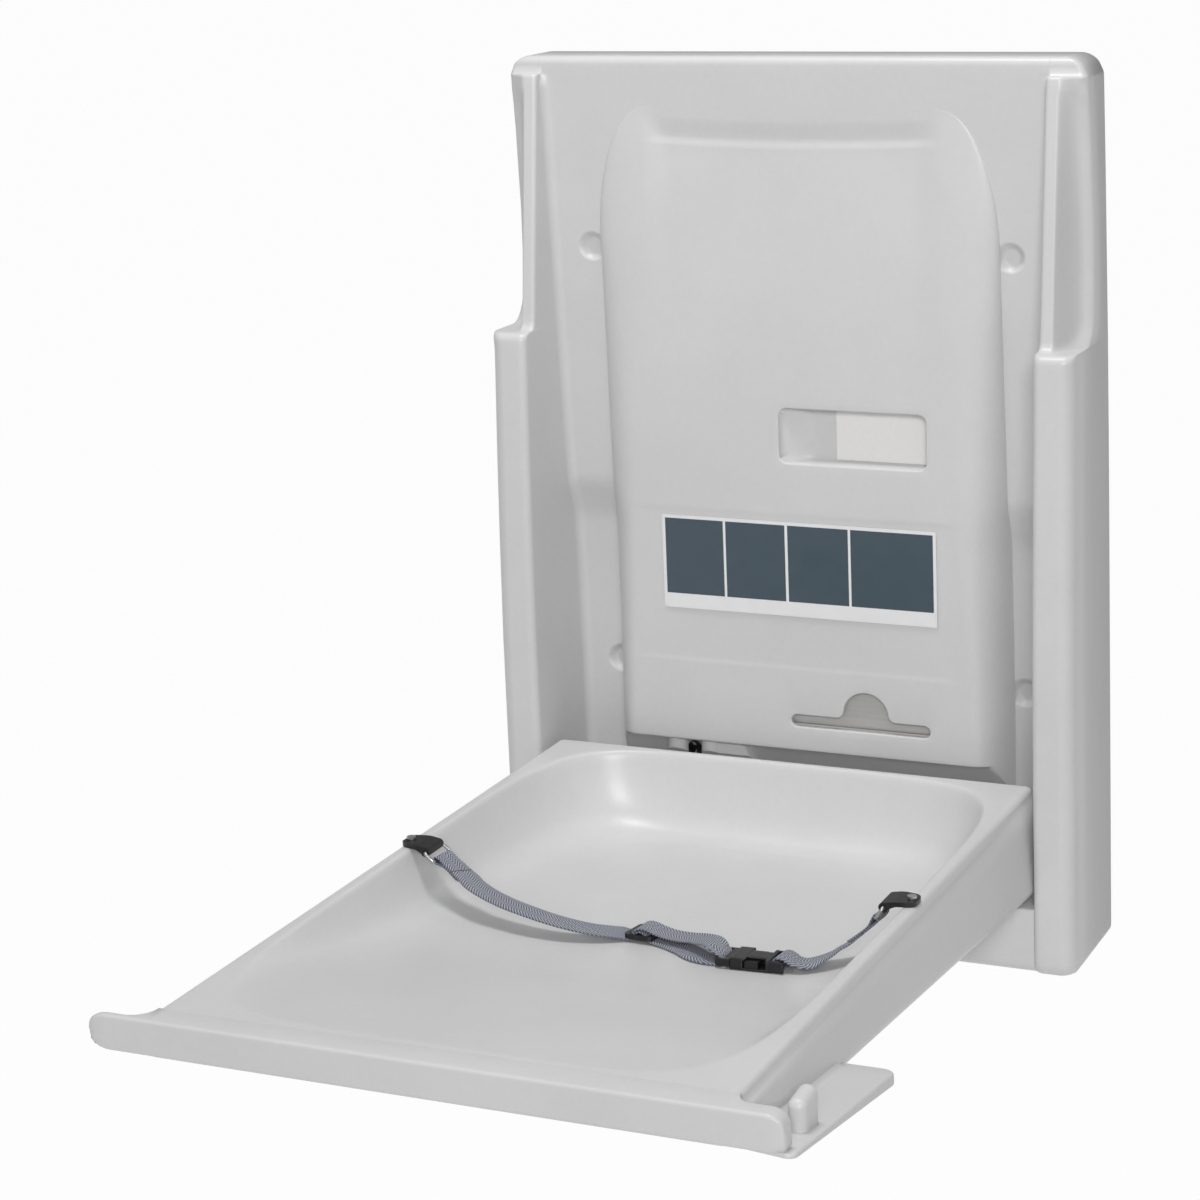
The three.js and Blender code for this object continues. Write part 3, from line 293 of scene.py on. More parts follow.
labelSheet = {
    "left": -132.0,
    "width": 269.0,
    "foot": 299.0,
    "height": 89.0,
    "fieldFoot": 0.155,
    "fieldHead": 0.965,
    "fields": [(0.011, 0.228), (0.237, 0.456), (0.466, 0.686), (0.695, 0.989)],
}


def labelFinish():
    # printed film: white, with four bare slate fields above a white strip
    sheet = labelSheet
    material, start, shader = newFinish("label")
    at = place(start)
    across = (start.node("ShaderNodeSeparateXYZ", out=0, Vector=at) * 1000 - sheet["left"]) / sheet["width"]
    up = (start.node("ShaderNodeSeparateXYZ", out=2, Vector=at) * 1000 + footToMiddle - sheet["foot"]) / sheet["height"]
    between = lambda wire, low, high: wire.above(low) * (1 - wire.above(high))
    inField = sum(between(across, low, high) for low, high in sheet["fields"])
    inField = inField * between(up, sheet["fieldFoot"], sheet["fieldHead"])
    ink = noise(start, at, 55.0, 3.0)
    slate = ink.mix((0.040, 0.066, 0.088, 1), (0.054, 0.084, 0.108, 1))
    white = ink.mix(grey(232), grey(240))
    plug(inField.mix(white, slate), shader, "Base Color")
    plug(0.32 + ink * 0.12 + inField * 0.06, shader, "Roughness")
    bump(start, shader, noise(start, at, 900.0) * 0.6 + inField * 0.3, 0.08, 0.00004)
    shader.inputs["Coat Weight"].default_value = 0.15
    return material


finishes["label"] = labelFinish()

weave = {
    "width": 25.0,
    "chevrons": 2.0,
    "pitch": 2.9,
    "yarn": 0.62,
    "light": (0.52, 0.54, 0.60, 1),
    "dark": (0.060, 0.068, 0.105, 1),
    "seam": 66.5,
}


def webbingFinish():
    # herringbone: stripes that turn back at each chevron, over the ribs of the single yarns
    w = weave
    material, start, shader = newFinish("webbing")
    uv = start.node("ShaderNodeUVMap", {"uv_map": "weave"})
    across = start.node("ShaderNodeSeparateXYZ", out=0, Vector=uv)
    along = start.node("ShaderNodeSeparateXYZ", out=1, Vector=uv)
    wobble = noise(start, uv, 0.35, 2.0) * 0.5
    period = w["width"] / w["chevrons"]
    zigzag = start.math("PINGPONG", across, period / 2)
    stripe = ((along + zigzag * 0.95 + wobble) * (2 * math.pi / w["pitch"])).sine()
    thread = start.node("ShaderNodeMapRange", Value=stripe, s1=-0.2, s2=0.5, s3=0.0, s4=1.0)
    rib = (across * (2 * math.pi / w["yarn"])).sine()
    cross = (along * (2 * math.pi / (w["yarn"] * 1.3))).sine()
    fuzz = noise(start, uv, 3.0, 3.0)
    edge = 1 - start.node("ShaderNodeMapRange", Value=start.math("PINGPONG", across, w["width"] / 2), s1=0.2, s2=1.3, s3=0.0, s4=1.0)
    seam = start.node("ShaderNodeMapRange", Value=start.math("ABSOLUTE", along - w["seam"]), s1=0.5, s2=1.2, s3=1.0, s4=0.0)
    tone = start.math("MULTIPLY", thread * (0.72 + fuzz * 0.4) + rib * cross * 0.08, 1 - edge * 0.45)
    tone = tone * (1 - seam * 0.9)
    plug(tone.mix(w["dark"], w["light"]), shader, "Base Color")
    plug(0.78 + fuzz * 0.18, shader, "Roughness")
    bump(start, shader, thread * 0.6 + rib * cross * 0.5 + fuzz * 0.3, 0.55, 0.0004)
    shader.inputs["Sheen Weight"].default_value = 0.15
    return material


finishes["webbing"] = webbingFinish()

print("finishes:", len(finishes))

# ---- wall unit

wallUnit = {
    "half": 279.0,
    "height": 812.0,
    "topCorner": 20.0,
    "footCorner": 10.0,
    "sideLine": [(0, 279.5), (440, 279.6), (560, 279.2), (720, 277.8), (790, 276.9), (812, 276.5)],
    "pillarInner": 243.0,
    "pillarLine": [(0, 122), (270, 122), (367, 119.5), (459, 116), (522, 113), (562, 111.5)],
    "pillarOuterRound": 14.0,
    "innerLine": [(0, 241.4), (170, 241.4), (500, 243), (812, 243)],
    "pillarInnerRound": 7.0,
    "footRound": 14.0,
    "topRound": 8.0,
    "apronDepth": 118.0,
    "apronTop": 62.0,
    "panelLine": [(0, 13), (229, 13), (372, 16), (406, 28), (812, 52.5)],
    "rootFillet": 9.0,
    "step": 562.0,
    "stepRound": 8.0,
    "scoop": 28.0,
    "shelfLine": [(562, 45), (591, 45), (630, 42), (667, 42), (705, 44.5), (743, 47), (780, 51), (812, 53)],
    "shelfRound": 6.0,
    "troughTop": 786.0,
    "troughWidth": 22.0,
    "ridgeEdge": 254.5,
    "ridgeDepth": 91.0,
    "ridgeFall": 0.1136,
    "ridgeFoot": 8.0,
    "ridgeTop": 796.0,
    "ridgeCap": 3.0,
    "ridgeRound": 4.0,
    "housingHalf": 193.5,
    "housingFoot": 169.5,
    "underSetback": 8.0,
    "housingTop": 766.0,
    "browSink": 1.7,
    "housingDepth": 63.0,
    "housingFlat": 437.5,
    "housingBend": 125.0,
    "housingSlope": 0.0665,
    "housingHollow": 4.4,
    "shoulderFoot": 27.0,
    "shoulderTop": 48.0,
    "cornerWidth": 54.0,
    "cornerRise": 126.0,
    "bandLow": 247.0,
    "bandHigh": 396.0,
    "bandSink": 0.5,
    "dimpleX": 203.2,
    "dimpleRows": [229.0, 635.0],
    "dimpleRadius": 14.0,
    "dimpleFloor": 7.0,
    "dimpleDepth": 6.0,
    "backRim": 2.0,
}


def panelDepth(z):
    # depth of the panel, its bends eased over a few millimetres by averaging three places
    line = np.array(wallUnit["panelLine"], float)
    return sum(np.interp(z + d, line[:, 0], line[:, 1]) for d in (-5, 0, 5)) / 3


def housingSide(z):
    # half width of the housing: straight, then a quarter ellipse x = half - width (1 - sqrt(1 - tt))
    w = wallUnit
    t = np.clip((z - w["housingTop"]) / w["cornerRise"] + 1, 0, 1)
    return w["housingHalf"] - w["cornerWidth"] * (1 - np.sqrt(1 - t * t))


def housingFront(ax, z):
    # depth of the housing's front: flat, a long bend, and a slope back that is slightly hollow across
    w = wallUnit
    run = z - w["housingFlat"]
    bend = np.clip(run, 0, w["housingBend"])
    drop = bend * bend / (2 * w["housingBend"]) + np.clip(run - w["housingBend"], 0, None)
    hollow = w["housingHollow"] * smoothStep((ax - 116) / 30) * smoothStep((z - 470) / 280)
    return w["housingDepth"] - w["housingSlope"] * drop + hollow


def along(line, z):
    # value of a list of (height, value) at each height
    line = np.array(line, float)
    return np.interp(z, line[:, 0], line[:, 1])


def footFillet(r, rise):
    # what a fillet of radius r adds at a height above its foot: r - sqrt(rr - (r - rise)(r - rise))
    return r - np.sqrt(np.maximum(r * r - np.clip(r - rise, 0, r) ** 2, 0))


def pillarDepth(ax, z):
    # a pillar's front: full below the step; above it a rim, the ridge, and between them a trough whose
    # wall falls as (1 - t)^1.45
    w = wallUnit
    full = along(w["pillarLine"], z) - roundDrop(w["stepRound"], w["step"] - z)
    up = z - w["step"]
    rim = along(w["shelfLine"], z) + footFillet(w["scoop"], up)
    crest = w["ridgeDepth"] - w["ridgeFall"] * up + footFillet(w["ridgeFoot"], up)
    crest = crest + (rim - crest) * smoothStep((ax - w["ridgeEdge"]) / w["troughWidth"])
    off = -softMax(w["ridgeEdge"] - ax, z - w["troughTop"], 8.0)
    t = np.clip(off / w["troughWidth"], 0, 1)
    wall = rim + (crest + 3 - rim) * (1 - t) ** 1.45
    body = np.where(off > 0, -softMax(-crest, -wall, 4.0), crest)
    capped = softMax(rim, body - roundDrop(w["ridgeCap"], w["ridgeTop"] - z) - 60 * (z > w["ridgeTop"]), 3.0)
    upper = np.where(z > w["ridgeTop"] - w["ridgeCap"], capped, body)
    return np.where(z < w["step"], full, upper)


def frontDepth(x, z):
    # depth of the wall unit's front over the whole face, by its named forms
    w = wallUnit
    ax = np.abs(x)
    panel = panelDepth(z)
    half = housingSide(z)
    front = housingFront(ax, z)
    band = smoothStep((z - w["bandLow"]) / 5) * smoothStep((w["bandHigh"] - z) / 5) * smoothStep((175 - ax) / 40)
    front = front - w["bandSink"] * band
    # the housing's shoulders are quarter ellipses from the panel up to its front, wider towards the top
    into = half - ax
    width = w["shoulderFoot"] + (w["shoulderTop"] - w["shoulderFoot"]) * np.clip((z - 190) / 460, 0, 1)
    t = 1 - np.clip(into / width, 0, 1)
    housing = panel + softMax(front - panel, 0.0, 1.2) * np.sqrt(1 - t * t)
    # its underside is set back and slopes to the panel at 45 degrees
    under = w["housingDepth"] - w["underSetback"] + z - w["housingFoot"]
    foot = housing - roundDrop(2.0, z - w["housingFoot"]) * smoothStep((housing - under) / 8)
    housing = np.where(z < w["housingFoot"], np.minimum(housing, under), foot)
    depth = np.where((into >= 0) & (z <= w["housingTop"]), np.maximum(panel, housing), panel)
    # shallow groove along the housing's top
    sag = z + 4 * (1 - np.minimum(ax / 140, 1) ** 2)
    groove = smoothStep((759 - sag) / 20) * (1 - smoothStep((741 - sag) / 9)) * smoothStep((148 - ax) / 34)
    depth = depth - w["browSink"] * groove
    # dimples for the wall fixings
    for row in w["dimpleRows"]:
        away = np.hypot(ax - w["dimpleX"], z - row)
        t = np.clip((w["dimpleRadius"] - away) / (w["dimpleRadius"] - w["dimpleFloor"]), 0, 1)
        depth = depth - w["dimpleDepth"] * (0.35 * t + 0.65 * smoothStep(t)) * (into < 0)
    # apron below the panel, with its ledge
    ledge = panel + 8 - np.sqrt(np.maximum(64 - np.clip(70 - z, 0, 8) ** 2, 0))
    depth = np.where((z < 70) & (z >= w["apronTop"]), np.maximum(depth, ledge), depth)
    depth = np.where(z < w["apronTop"], w["apronDepth"] - roundDrop(2.0, w["apronTop"] - z), depth)
    # pillars, with the fillet at the root of their inner walls
    toWall = np.clip(w["rootFillet"] - (w["pillarInner"] - ax), 0, w["rootFillet"])
    root = w["rootFillet"] - np.sqrt(np.maximum(w["rootFillet"] ** 2 - toWall ** 2, 0))
    depth = np.where((z >= w["apronTop"]), depth + root * smoothStep((w["ridgeTop"] - z) / 8), depth)
    inner = np.where(z < w["step"], w["pillarInnerRound"], w["ridgeRound"])
    outer = w["pillarOuterRound"] + (w["shelfRound"] - w["pillarOuterRound"]) * smoothStep((z - 545) / 30)
    pillar = pillarDepth(ax, z)
    inner = np.clip((pillar - panel) / 2.5, 0.01, inner)
    pillar = pillar - roundDrop(inner, ax - w["pillarInner"])
    pillar = pillar - roundDrop(outer, w["half"] - ax)
    depth = np.where(ax >= w["pillarInner"], pillar, depth)
    depth = depth - roundDrop(w["topRound"], w["height"] - z)
    return depth - roundDrop(w["footRound"], z)


def wallColumns():
    # places across the face, close together at the roundings and doubled at the upright walls
    w = wallUnit
    inner, half, side = w["pillarInner"], w["half"], w["housingHalf"]
    right = np.concatenate([
        np.arange(2, 143, 4.0),
        side - tiny - arcSteps(w["shoulderTop"], 22),
        np.arange(side + tiny, 219, 0.9),
        np.arange(220, inner - w["rootFillet"], 2.2),
        inner - tiny - arcSteps(w["rootFillet"], 9),
        inner + tiny + arcSteps(w["pillarInnerRound"], 10),
        np.arange(252, 268, 0.7),
        half - arcSteps(w["pillarOuterRound"], 11),
    ])
    extra = [c + s for c in (-19.0, 135.0, -14.0, 134.0) for s in (0.0,)]
    return np.unique(np.round(np.concatenate([right, -right, [0.0], extra]), 5))


def wallRows():
    # heights up the face, close together at the roundings and doubled at the ledges
    w = wallUnit
    rows = np.concatenate([
        arcSteps(w["footRound"], 8),
        np.arange(18, 58, 6.0),
        w["apronTop"] - tiny - arcSteps(2.0, 4),
        w["apronTop"] + tiny + arcSteps(8.0, 6),
        np.arange(75, 112, 6.0),
        np.arange(112, 169, 3.0),
        [w["housingFoot"] - tiny],
        w["housingFoot"] + tiny + arcSteps(2.0, 5),
        np.arange(174, 214, 4.0),
        np.arange(214, 245, 1.0),
        np.arange(245, 256, 1.5),
        np.arange(258, 362, 5.0),
        np.arange(362, 416, 2.0),
        np.arange(418, 552, 5.0),
        w["step"] - tiny - arcSteps(w["stepRound"], 7),
        w["step"] + tiny + arcSteps(w["scoop"], 18),
        np.linspace(726, 760, 18),
        np.arange(592, 619, 3.0),
        np.arange(619, 651, 1.0),
        np.arange(652, 730, 3.0),
        np.arange(730, 768, 1.5),
        np.arange(768, 785, 1.2),
        w["ridgeTop"] - tiny - arcSteps(w["ridgeCap"], 6),
        [w["ridgeTop"] + tiny],
        w["height"] - arcSteps(w["topRound"], 8),
        [186.0, 238.0, 437.0, 501.0],
    ])
    return np.unique(np.round(rows, 5))


def faceX(u, z):
    # the columns follow the housing's side, the pillars' inner walls and the outer sides with their rounded corners
    w = wallUnit
    au = np.abs(u)
    move = np.interp(au, [0, 40, 145, 194, 232, 400], [0, 0, 1, 1, 0, 0])
    inner = np.interp(au, [219, 234, 250, 262], [0, 1, 1, 0]) * (along(w["innerLine"], z) - w["pillarInner"])
    ax = au + move * (housingSide(z) - w["housingHalf"])
    cut = w["half"] - along(w["sideLine"], z) + roundDrop(w["topCorner"], w["height"] - z) + roundDrop(w["footCorner"], z)
    share = np.clip((au - w["pillarInner"] - 4) / (w["half"] - w["pillarInner"] - 4), 0, 1)
    return np.sign(u) * (ax + inner - share * cut), np.sign(u) * ax


openings = {
    "pocket": {"rect": (-19.0, 135.0, 437.0, 501.0), "left": -13.0, "right": 129.0, "low": 443.0, "high": 494.0,
               "round": 8.0, "depth": 19.0, "ramp": 27.0},
    "slot": {"rect": (-14.0, 134.0, 186.0, 238.0), "left": -8.0, "right": 128.0, "low": 193.0, "high": 204.5,
             "moonX": 65.5, "moonZ": 208.5, "moonRadius": 22.0, "moonFillet": 7.0, "depth": 4.5},
}


def makeWallFace():
    # the face as one grid of depths, with its rim turned back to the wall, less the squares of the two openings
    w = wallUnit
    u, z = np.meshgrid(wallColumns(), wallRows())
    x, plain = faceX(u, z)
    d = frontDepth(plain, z)
    keep = np.ones((d.shape[0] - 1, d.shape[1] - 1), bool)
    midU, midZ = (u[:-1, :-1] + u[1:, 1:]) / 2, (z[:-1, :-1] + z[1:, 1:]) / 2
    for one in openings.values():
        x0, x1, z0, z1 = one["rect"]
        keep &= ~((midU > x0) & (midU < x1) & (midZ > z0) & (midZ < z1))
    keep = np.pad(keep, 3, constant_values=True)
    x, z, d = (np.pad(a, 3, mode="edge") for a in (x, z, d))
    rim = w["backRim"]
    for k, (inset, depth) in enumerate([(rim, 3.4), (rim, 0.0), (0.0, 0.0)]):
        for edge in (np.s_[k, :], np.s_[-1 - k, :], np.s_[:, k], np.s_[:, -1 - k]):
            d[edge] = np.minimum(d[edge], depth)
        x[:, k] += inset
        x[:, -1 - k] -= inset
        z[k, :] += inset
        z[-1 - k, :] -= inset
    points = np.stack([x, -d, z], axis=-1)
    faces = gridFaces(*d.shape)
    return points, faces[keep.ravel()]


def rayToRect(c, a, b, rect):
    # from each outline point straight away from the line a-b (level, in x) to the sides of the rectangle
    x0, x1, z0, z1 = rect
    start = np.stack([np.clip(c[:, 0], a[0], b[0]), np.full(len(c), a[1])], axis=1)
    way = c - start
    with np.errstate(divide="ignore", invalid="ignore"):
        tx = np.where(way[:, 0] > 0, (x1 - start[:, 0]) / way[:, 0], (x0 - start[:, 0]) / way[:, 0])
        tz = np.where(way[:, 1] > 0, (z1 - start[:, 1]) / way[:, 1], (z0 - start[:, 1]) / way[:, 1])
    t = np.minimum(np.where(np.abs(way[:, 0]) > 1e-9, tx, 1e9), np.where(np.abs(way[:, 1]) > 1e-9, tz, 1e9))
    return start + way * t[:, None], start


def openingPatch(outline, spine, rect, floor, edge=1.4):
    # rings from the rectangle to the outline, over a rounded edge, down the wall and in along the floor
    step = np.roll(outline, -1, axis=0) - np.roll(outline, 1, axis=0)
    out = np.stack([step[:, 1], -step[:, 0]], axis=1)
    out /= np.linalg.norm(out, axis=1)[:, None]
    outer, _ = rayToRect(outline + out * edge, *spine, rect)
    _, middle = rayToRect(outline, *spine, rect)
    for corner in ((rect[0], rect[2]), (rect[1], rect[2]), (rect[1], rect[3]), (rect[0], rect[3])):
        outer[np.argmin(np.linalg.norm(outer - corner, axis=1))] = corner
    rings = [(outer, None), (outline + out * edge, 0.0)]
    for t in np.linspace(0, np.pi / 2, 5)[1:]:
        rings.append((outline + out * edge * (1 - math.sin(t)), edge * (1 - math.cos(t))))
    points = []
    for p, drop in rings:
        d = frontDepth(p[:, 0], p[:, 1]) - (drop or 0.0)
        points.append(np.stack([p[:, 0], -d, p[:, 1]], axis=1))
    for share in (1.0, 0.75, 0.4, 0.0) if floor["closed"] else (1.0,):
        p = middle + (outline - middle) * share
        points.append(np.stack([p[:, 0], -floor["depth"](p[:, 0]), p[:, 1]], axis=1))
    grid = np.array(points)
    return grid, gridFaces(*grid.shape[:2], loop=True)


def pocketOutline(one, count=9):
    # a rectangle with rounded corners, anticlockwise from its lower right corner
    r = one["round"]
    turn = np.linspace(0, np.pi / 2, count)
    corners = [(one["right"] - r, one["low"] + r, -np.pi / 2), (one["right"] - r, one["high"] - r, 0),
               (one["left"] + r, one["high"] - r, np.pi / 2), (one["left"] + r, one["low"] + r, np.pi)]
    arcs = [np.stack([cx + r * np.cos(a + turn), cz + r * np.sin(a + turn)], 1) for cx, cz, a in corners]
    top = np.stack([np.linspace(one["right"] - r, one["left"] + r, 14)[1:-1], np.full(12, one["high"])], 1)
    foot = np.stack([np.linspace(one["left"] + r, one["right"] - r, 14)[1:-1], np.full(12, one["low"])], 1)
    return np.concatenate([arcs[0], arcs[1], top, arcs[2], arcs[3], foot])


def slotOutline(one):
    # a long slot with round ends, and a half moon on its upper edge with a small fillet at each foot
    r = (one["high"] - one["low"]) / 2
    mid = (one["high"] + one["low"]) / 2
    big, small, cx = one["moonRadius"], one["moonFillet"], one["moonX"]
    turn = np.linspace(-np.pi / 2, np.pi / 2, 9)
    right = np.stack([one["right"] - r + r * np.cos(turn), mid + r * np.sin(turn)], 1)
    left = np.stack([one["left"] + r - r * np.cos(turn), mid - r * np.sin(turn)], 1)
    lift = math.asin((one["high"] + small - one["moonZ"]) / (big + small))
    away = (big + small) * math.cos(lift)
    bend = np.linspace(-np.pi / 2, -np.pi + lift, 7)
    footRight = np.stack([cx + away + small * np.cos(bend), mid + r + small + small * np.sin(bend)], 1)
    footLeft = footRight[::-1] * np.array([-1, 1]) + np.array([2 * cx, 0])
    arc = np.linspace(lift, np.pi - lift, 31)[1:-1]
    moon = np.stack([cx + big * np.cos(arc), one["moonZ"] + big * np.sin(arc)], 1)
    x1, x0 = right[-1, 0], left[0, 0]
    topRight = np.stack([np.linspace(x1, footRight[0, 0], 6)[1:-1], np.full(4, one["high"])], 1)
    topLeft = np.stack([np.linspace(footLeft[-1, 0], x0, 8)[1:-1], np.full(6, one["high"])], 1)
    foot = np.stack([np.linspace(x0, x1, 20)[1:-1], np.full(18, one["low"])], 1)
    return np.concatenate([right, topRight, footRight, moon, footLeft, topLeft, left, foot])


def makeOpenings():
    pocket, slot = openings["pocket"], openings["slot"]
    depth = wallUnit["housingDepth"]

    def pocketFloor(x):
        # a ramp from the left edge down to the flat floor
        return depth - pocket["depth"] * np.clip((x - pocket["left"] + 1.0) / pocket["ramp"], 0.06, 1)

    level = (pocket["low"] + pocket["high"]) / 2
    first = openingPatch(pocketOutline(pocket), ((20.0, level), (100.0, level)), pocket["rect"],
                         {"depth": pocketFloor, "closed": True})
    level = (slot["low"] + slot["high"]) / 2
    second = openingPatch(slotOutline(slot), ((-4.0, level), (124.0, level)), slot["rect"],
                          {"depth": lambda x: np.full(len(x), depth - slot["depth"]), "closed": False})
    return first, second


wallFace = makePiece("wall_face", [makeWallFace(), *makeOpenings()], "wall_unit", weld=0.002)
wallFace.data.materials.append(finishes["moulding"])
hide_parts("wall_shell")
print("wall unit:", len(wallFace.data.polygons), "faces")

# ---- bed

bed = {
    "hingeY": -99.0,
    "hingeZ": 89.0,
    "frontDrop": 21.0,
    "wedge": math.radians(4.5),
    "railZ": 168.5,
    "railHalf": 234.0,
    "rearY": -88.0,
    "sideDraft": 6.0,
    "rearDraft": 2.0,
    "railRound": 5.0,
    "rearRound": 8.0,
    "footRound": 12.0,
    "rearCorner": 9.0,
    "basinHalf": 221.0,
    "basinRear": -102.0,
    "basinFront": -766.0,
    "floorRise": 24.0,
    "wingY": -592.0,
    "wingFront": -801.5,
    "wingHalf": 283.0,
    "wingThick": 9.0,
    "wingThin": 3.0,
    "wingCorner": 12.0,
    "lipY": -800.0,
    "lipFootZ": 139.0,
    "lipRound": 3.0,
    "lipFootRound": 4.5,
    "lipLean": 2.5,
    "seamDrop": 6.0,
    "seam": 0.35,
    "frontEase": 1.3,
    # each end of the lip: where it begins to fall, its tip, its rear face, the fillet to the rail, and the fall and lift
    "lipEnds": {1: (262.0, 275.0, -783.0, 12.0, 10.0, 2.0), -1: (266.0, 282.0, -792.5, 19.0, 10.0, 10.0)},
    # how far in from the rim, and the share of the basin's depth there
    "basinLine": [(64, 1.0), (54, 1.0), (46, 0.995), (39, 0.982), (32, 0.952), (25, 0.905), (19, 0.825), (14, 0.72),
                  (9.5, 0.56), (6.5, 0.42), (4, 0.285), (2.2, 0.18), (0.8, 0.095), (-0.6, 0.038), (-2.2, 0.008), (-4, 0.0)],
    "postX": (259.5, 274.0),
    "postY": (-757.0, -727.0),
    "postRise": 25.0,
    "postRound": 6.5,
}


def underZ(y):
    # underside: a wedge from the hinge, and a steeper rise from the wings' rear edge to the lip
    b = bed
    rise = math.tan(b["wedge"])
    flat = b["hingeZ"] - b["frontDrop"] / math.cos(b["wedge"]) + rise * (b["hingeY"] - y)
    bend = b["hingeZ"] - b["frontDrop"] / math.cos(b["wedge"]) + rise * (b["hingeY"] - b["wingY"])
    nose = bend + (b["lipFootZ"] - bend) / (b["wingY"] - b["lipY"]) * (b["wingY"] - y)
    return np.where(y > b["wingY"], flat, nose)


def floorZ(y):
    # the basin's floor, parallel to the underside and easing up almost to the rails towards the lip
    b = bed
    foot = b["hingeZ"] - b["frontDrop"] / math.cos(b["wedge"])
    plain = foot + math.tan(b["wedge"]) * (b["hingeY"] - y) + b["floorRise"]
    return plain + (b["railZ"] - plain) * 0.86 * smoothStep((-y - 470) / 300)


def roundLoop(corners, spacing):
    # closed outline through (x, y, radius): straight runs cut to the spacing, and true arcs at the corners
    runs = []
    count = len(corners)
    ends = []
    for i, (x, y, r) in enumerate(corners):
        here = np.array([x, y], float)
        back = np.array(corners[i - 1][:2], float) - here
        ahead = np.array(corners[(i + 1) % count][:2], float) - here
        back, ahead = back / np.linalg.norm(back), ahead / np.linalg.norm(ahead)
        half = math.acos(np.clip(back @ ahead, -1, 1)) / 2
        reach = r / math.tan(half)
        middle = here + (back + ahead) / np.linalg.norm(back + ahead) * r / math.sin(half)
        a0 = math.atan2(*(here + back * reach - middle)[::-1])
        a1 = math.atan2(*(here + ahead * reach - middle)[::-1])
        sweep = (a1 - a0 + np.pi) % (2 * np.pi) - np.pi
        turn = a0 + sweep * np.linspace(0, 1, max(7, int(r * abs(sweep) / 2.5)))
        arc = middle + r * np.stack([np.cos(turn), np.sin(turn)], axis=1)
        ends.append(arc)
    for i, arc in enumerate(ends):
        after = ends[(i + 1) % count]
        gap = np.linalg.norm(after[0] - arc[-1])
        steps = max(2, int(gap / spacing) + 1)
        # closer together towards both ends of a run
        t = (1 - np.cos(np.linspace(0, np.pi, steps + 1))) / 2
        t = 0.5 * t + 0.5 * np.linspace(0, 1, steps + 1)
        runs += [arc, arc[-1] + (after[0] - arc[-1]) * t[1:-1, None]]
    return np.concatenate(runs)


def outward(loop):
    # unit normals of an anticlockwise outline
    step = np.roll(loop, -1, axis=0) - np.roll(loop, 1, axis=0)
    out = np.stack([step[:, 1], -step[:, 0]], axis=1)
    return out / np.linalg.norm(out, axis=1)[:, None]


def smoothThrough(points, count):
    # Catmull-Rom curve through the points, evaluated at count equal steps of its parameter
    p = np.asarray(points, float)
    p = np.concatenate([2 * p[:1] - p[1:2], p, 2 * p[-1:] - p[-2:-1]])
    t = np.linspace(0, len(p) - 3, count)
    i = np.minimum(t.astype(int), len(p) - 4)
    f = (t - i)[:, None]
    a, b, c, d = p[i], p[i + 1], p[i + 2], p[i + 3]
    return 0.5 * (2 * b + (c - a) * f + (2 * a - 5 * b + 4 * c - d) * f ** 2 + (3 * b - 3 * c + d - a) * f ** 3)


def basinRing(loop, inset):
    # the outline's points carried in to the basin's rounded oblong |u|^n + |v|^n = 1, drawn in by inset
    b = bed
    mid = (b["basinRear"] + b["basinFront"]) / 2
    length = (b["basinRear"] - b["basinFront"]) / 2
    u = np.clip(loop[:, 0], -b["railHalf"], b["railHalf"]) / b["railHalf"]
    front = b["lipY"] + 3
    v = (loop[:, 1] - (front + b["rearY"]) / 2) / ((b["rearY"] - front) / 2)
    power = 6.0 - 1.8 * smoothStep(inset / 60.0)
    size = (np.abs(u) ** power + np.abs(v) ** power) ** (-1 / power)
    # towards the lip the wall runs out longer
    ease = 1 + b["frontEase"] * smoothStep((-v - 0.55) / 0.45) * (inset > 0)
    return np.stack([u * size * (b["basinHalf"] - inset), mid + v * size * (length - inset * ease)], axis=1)


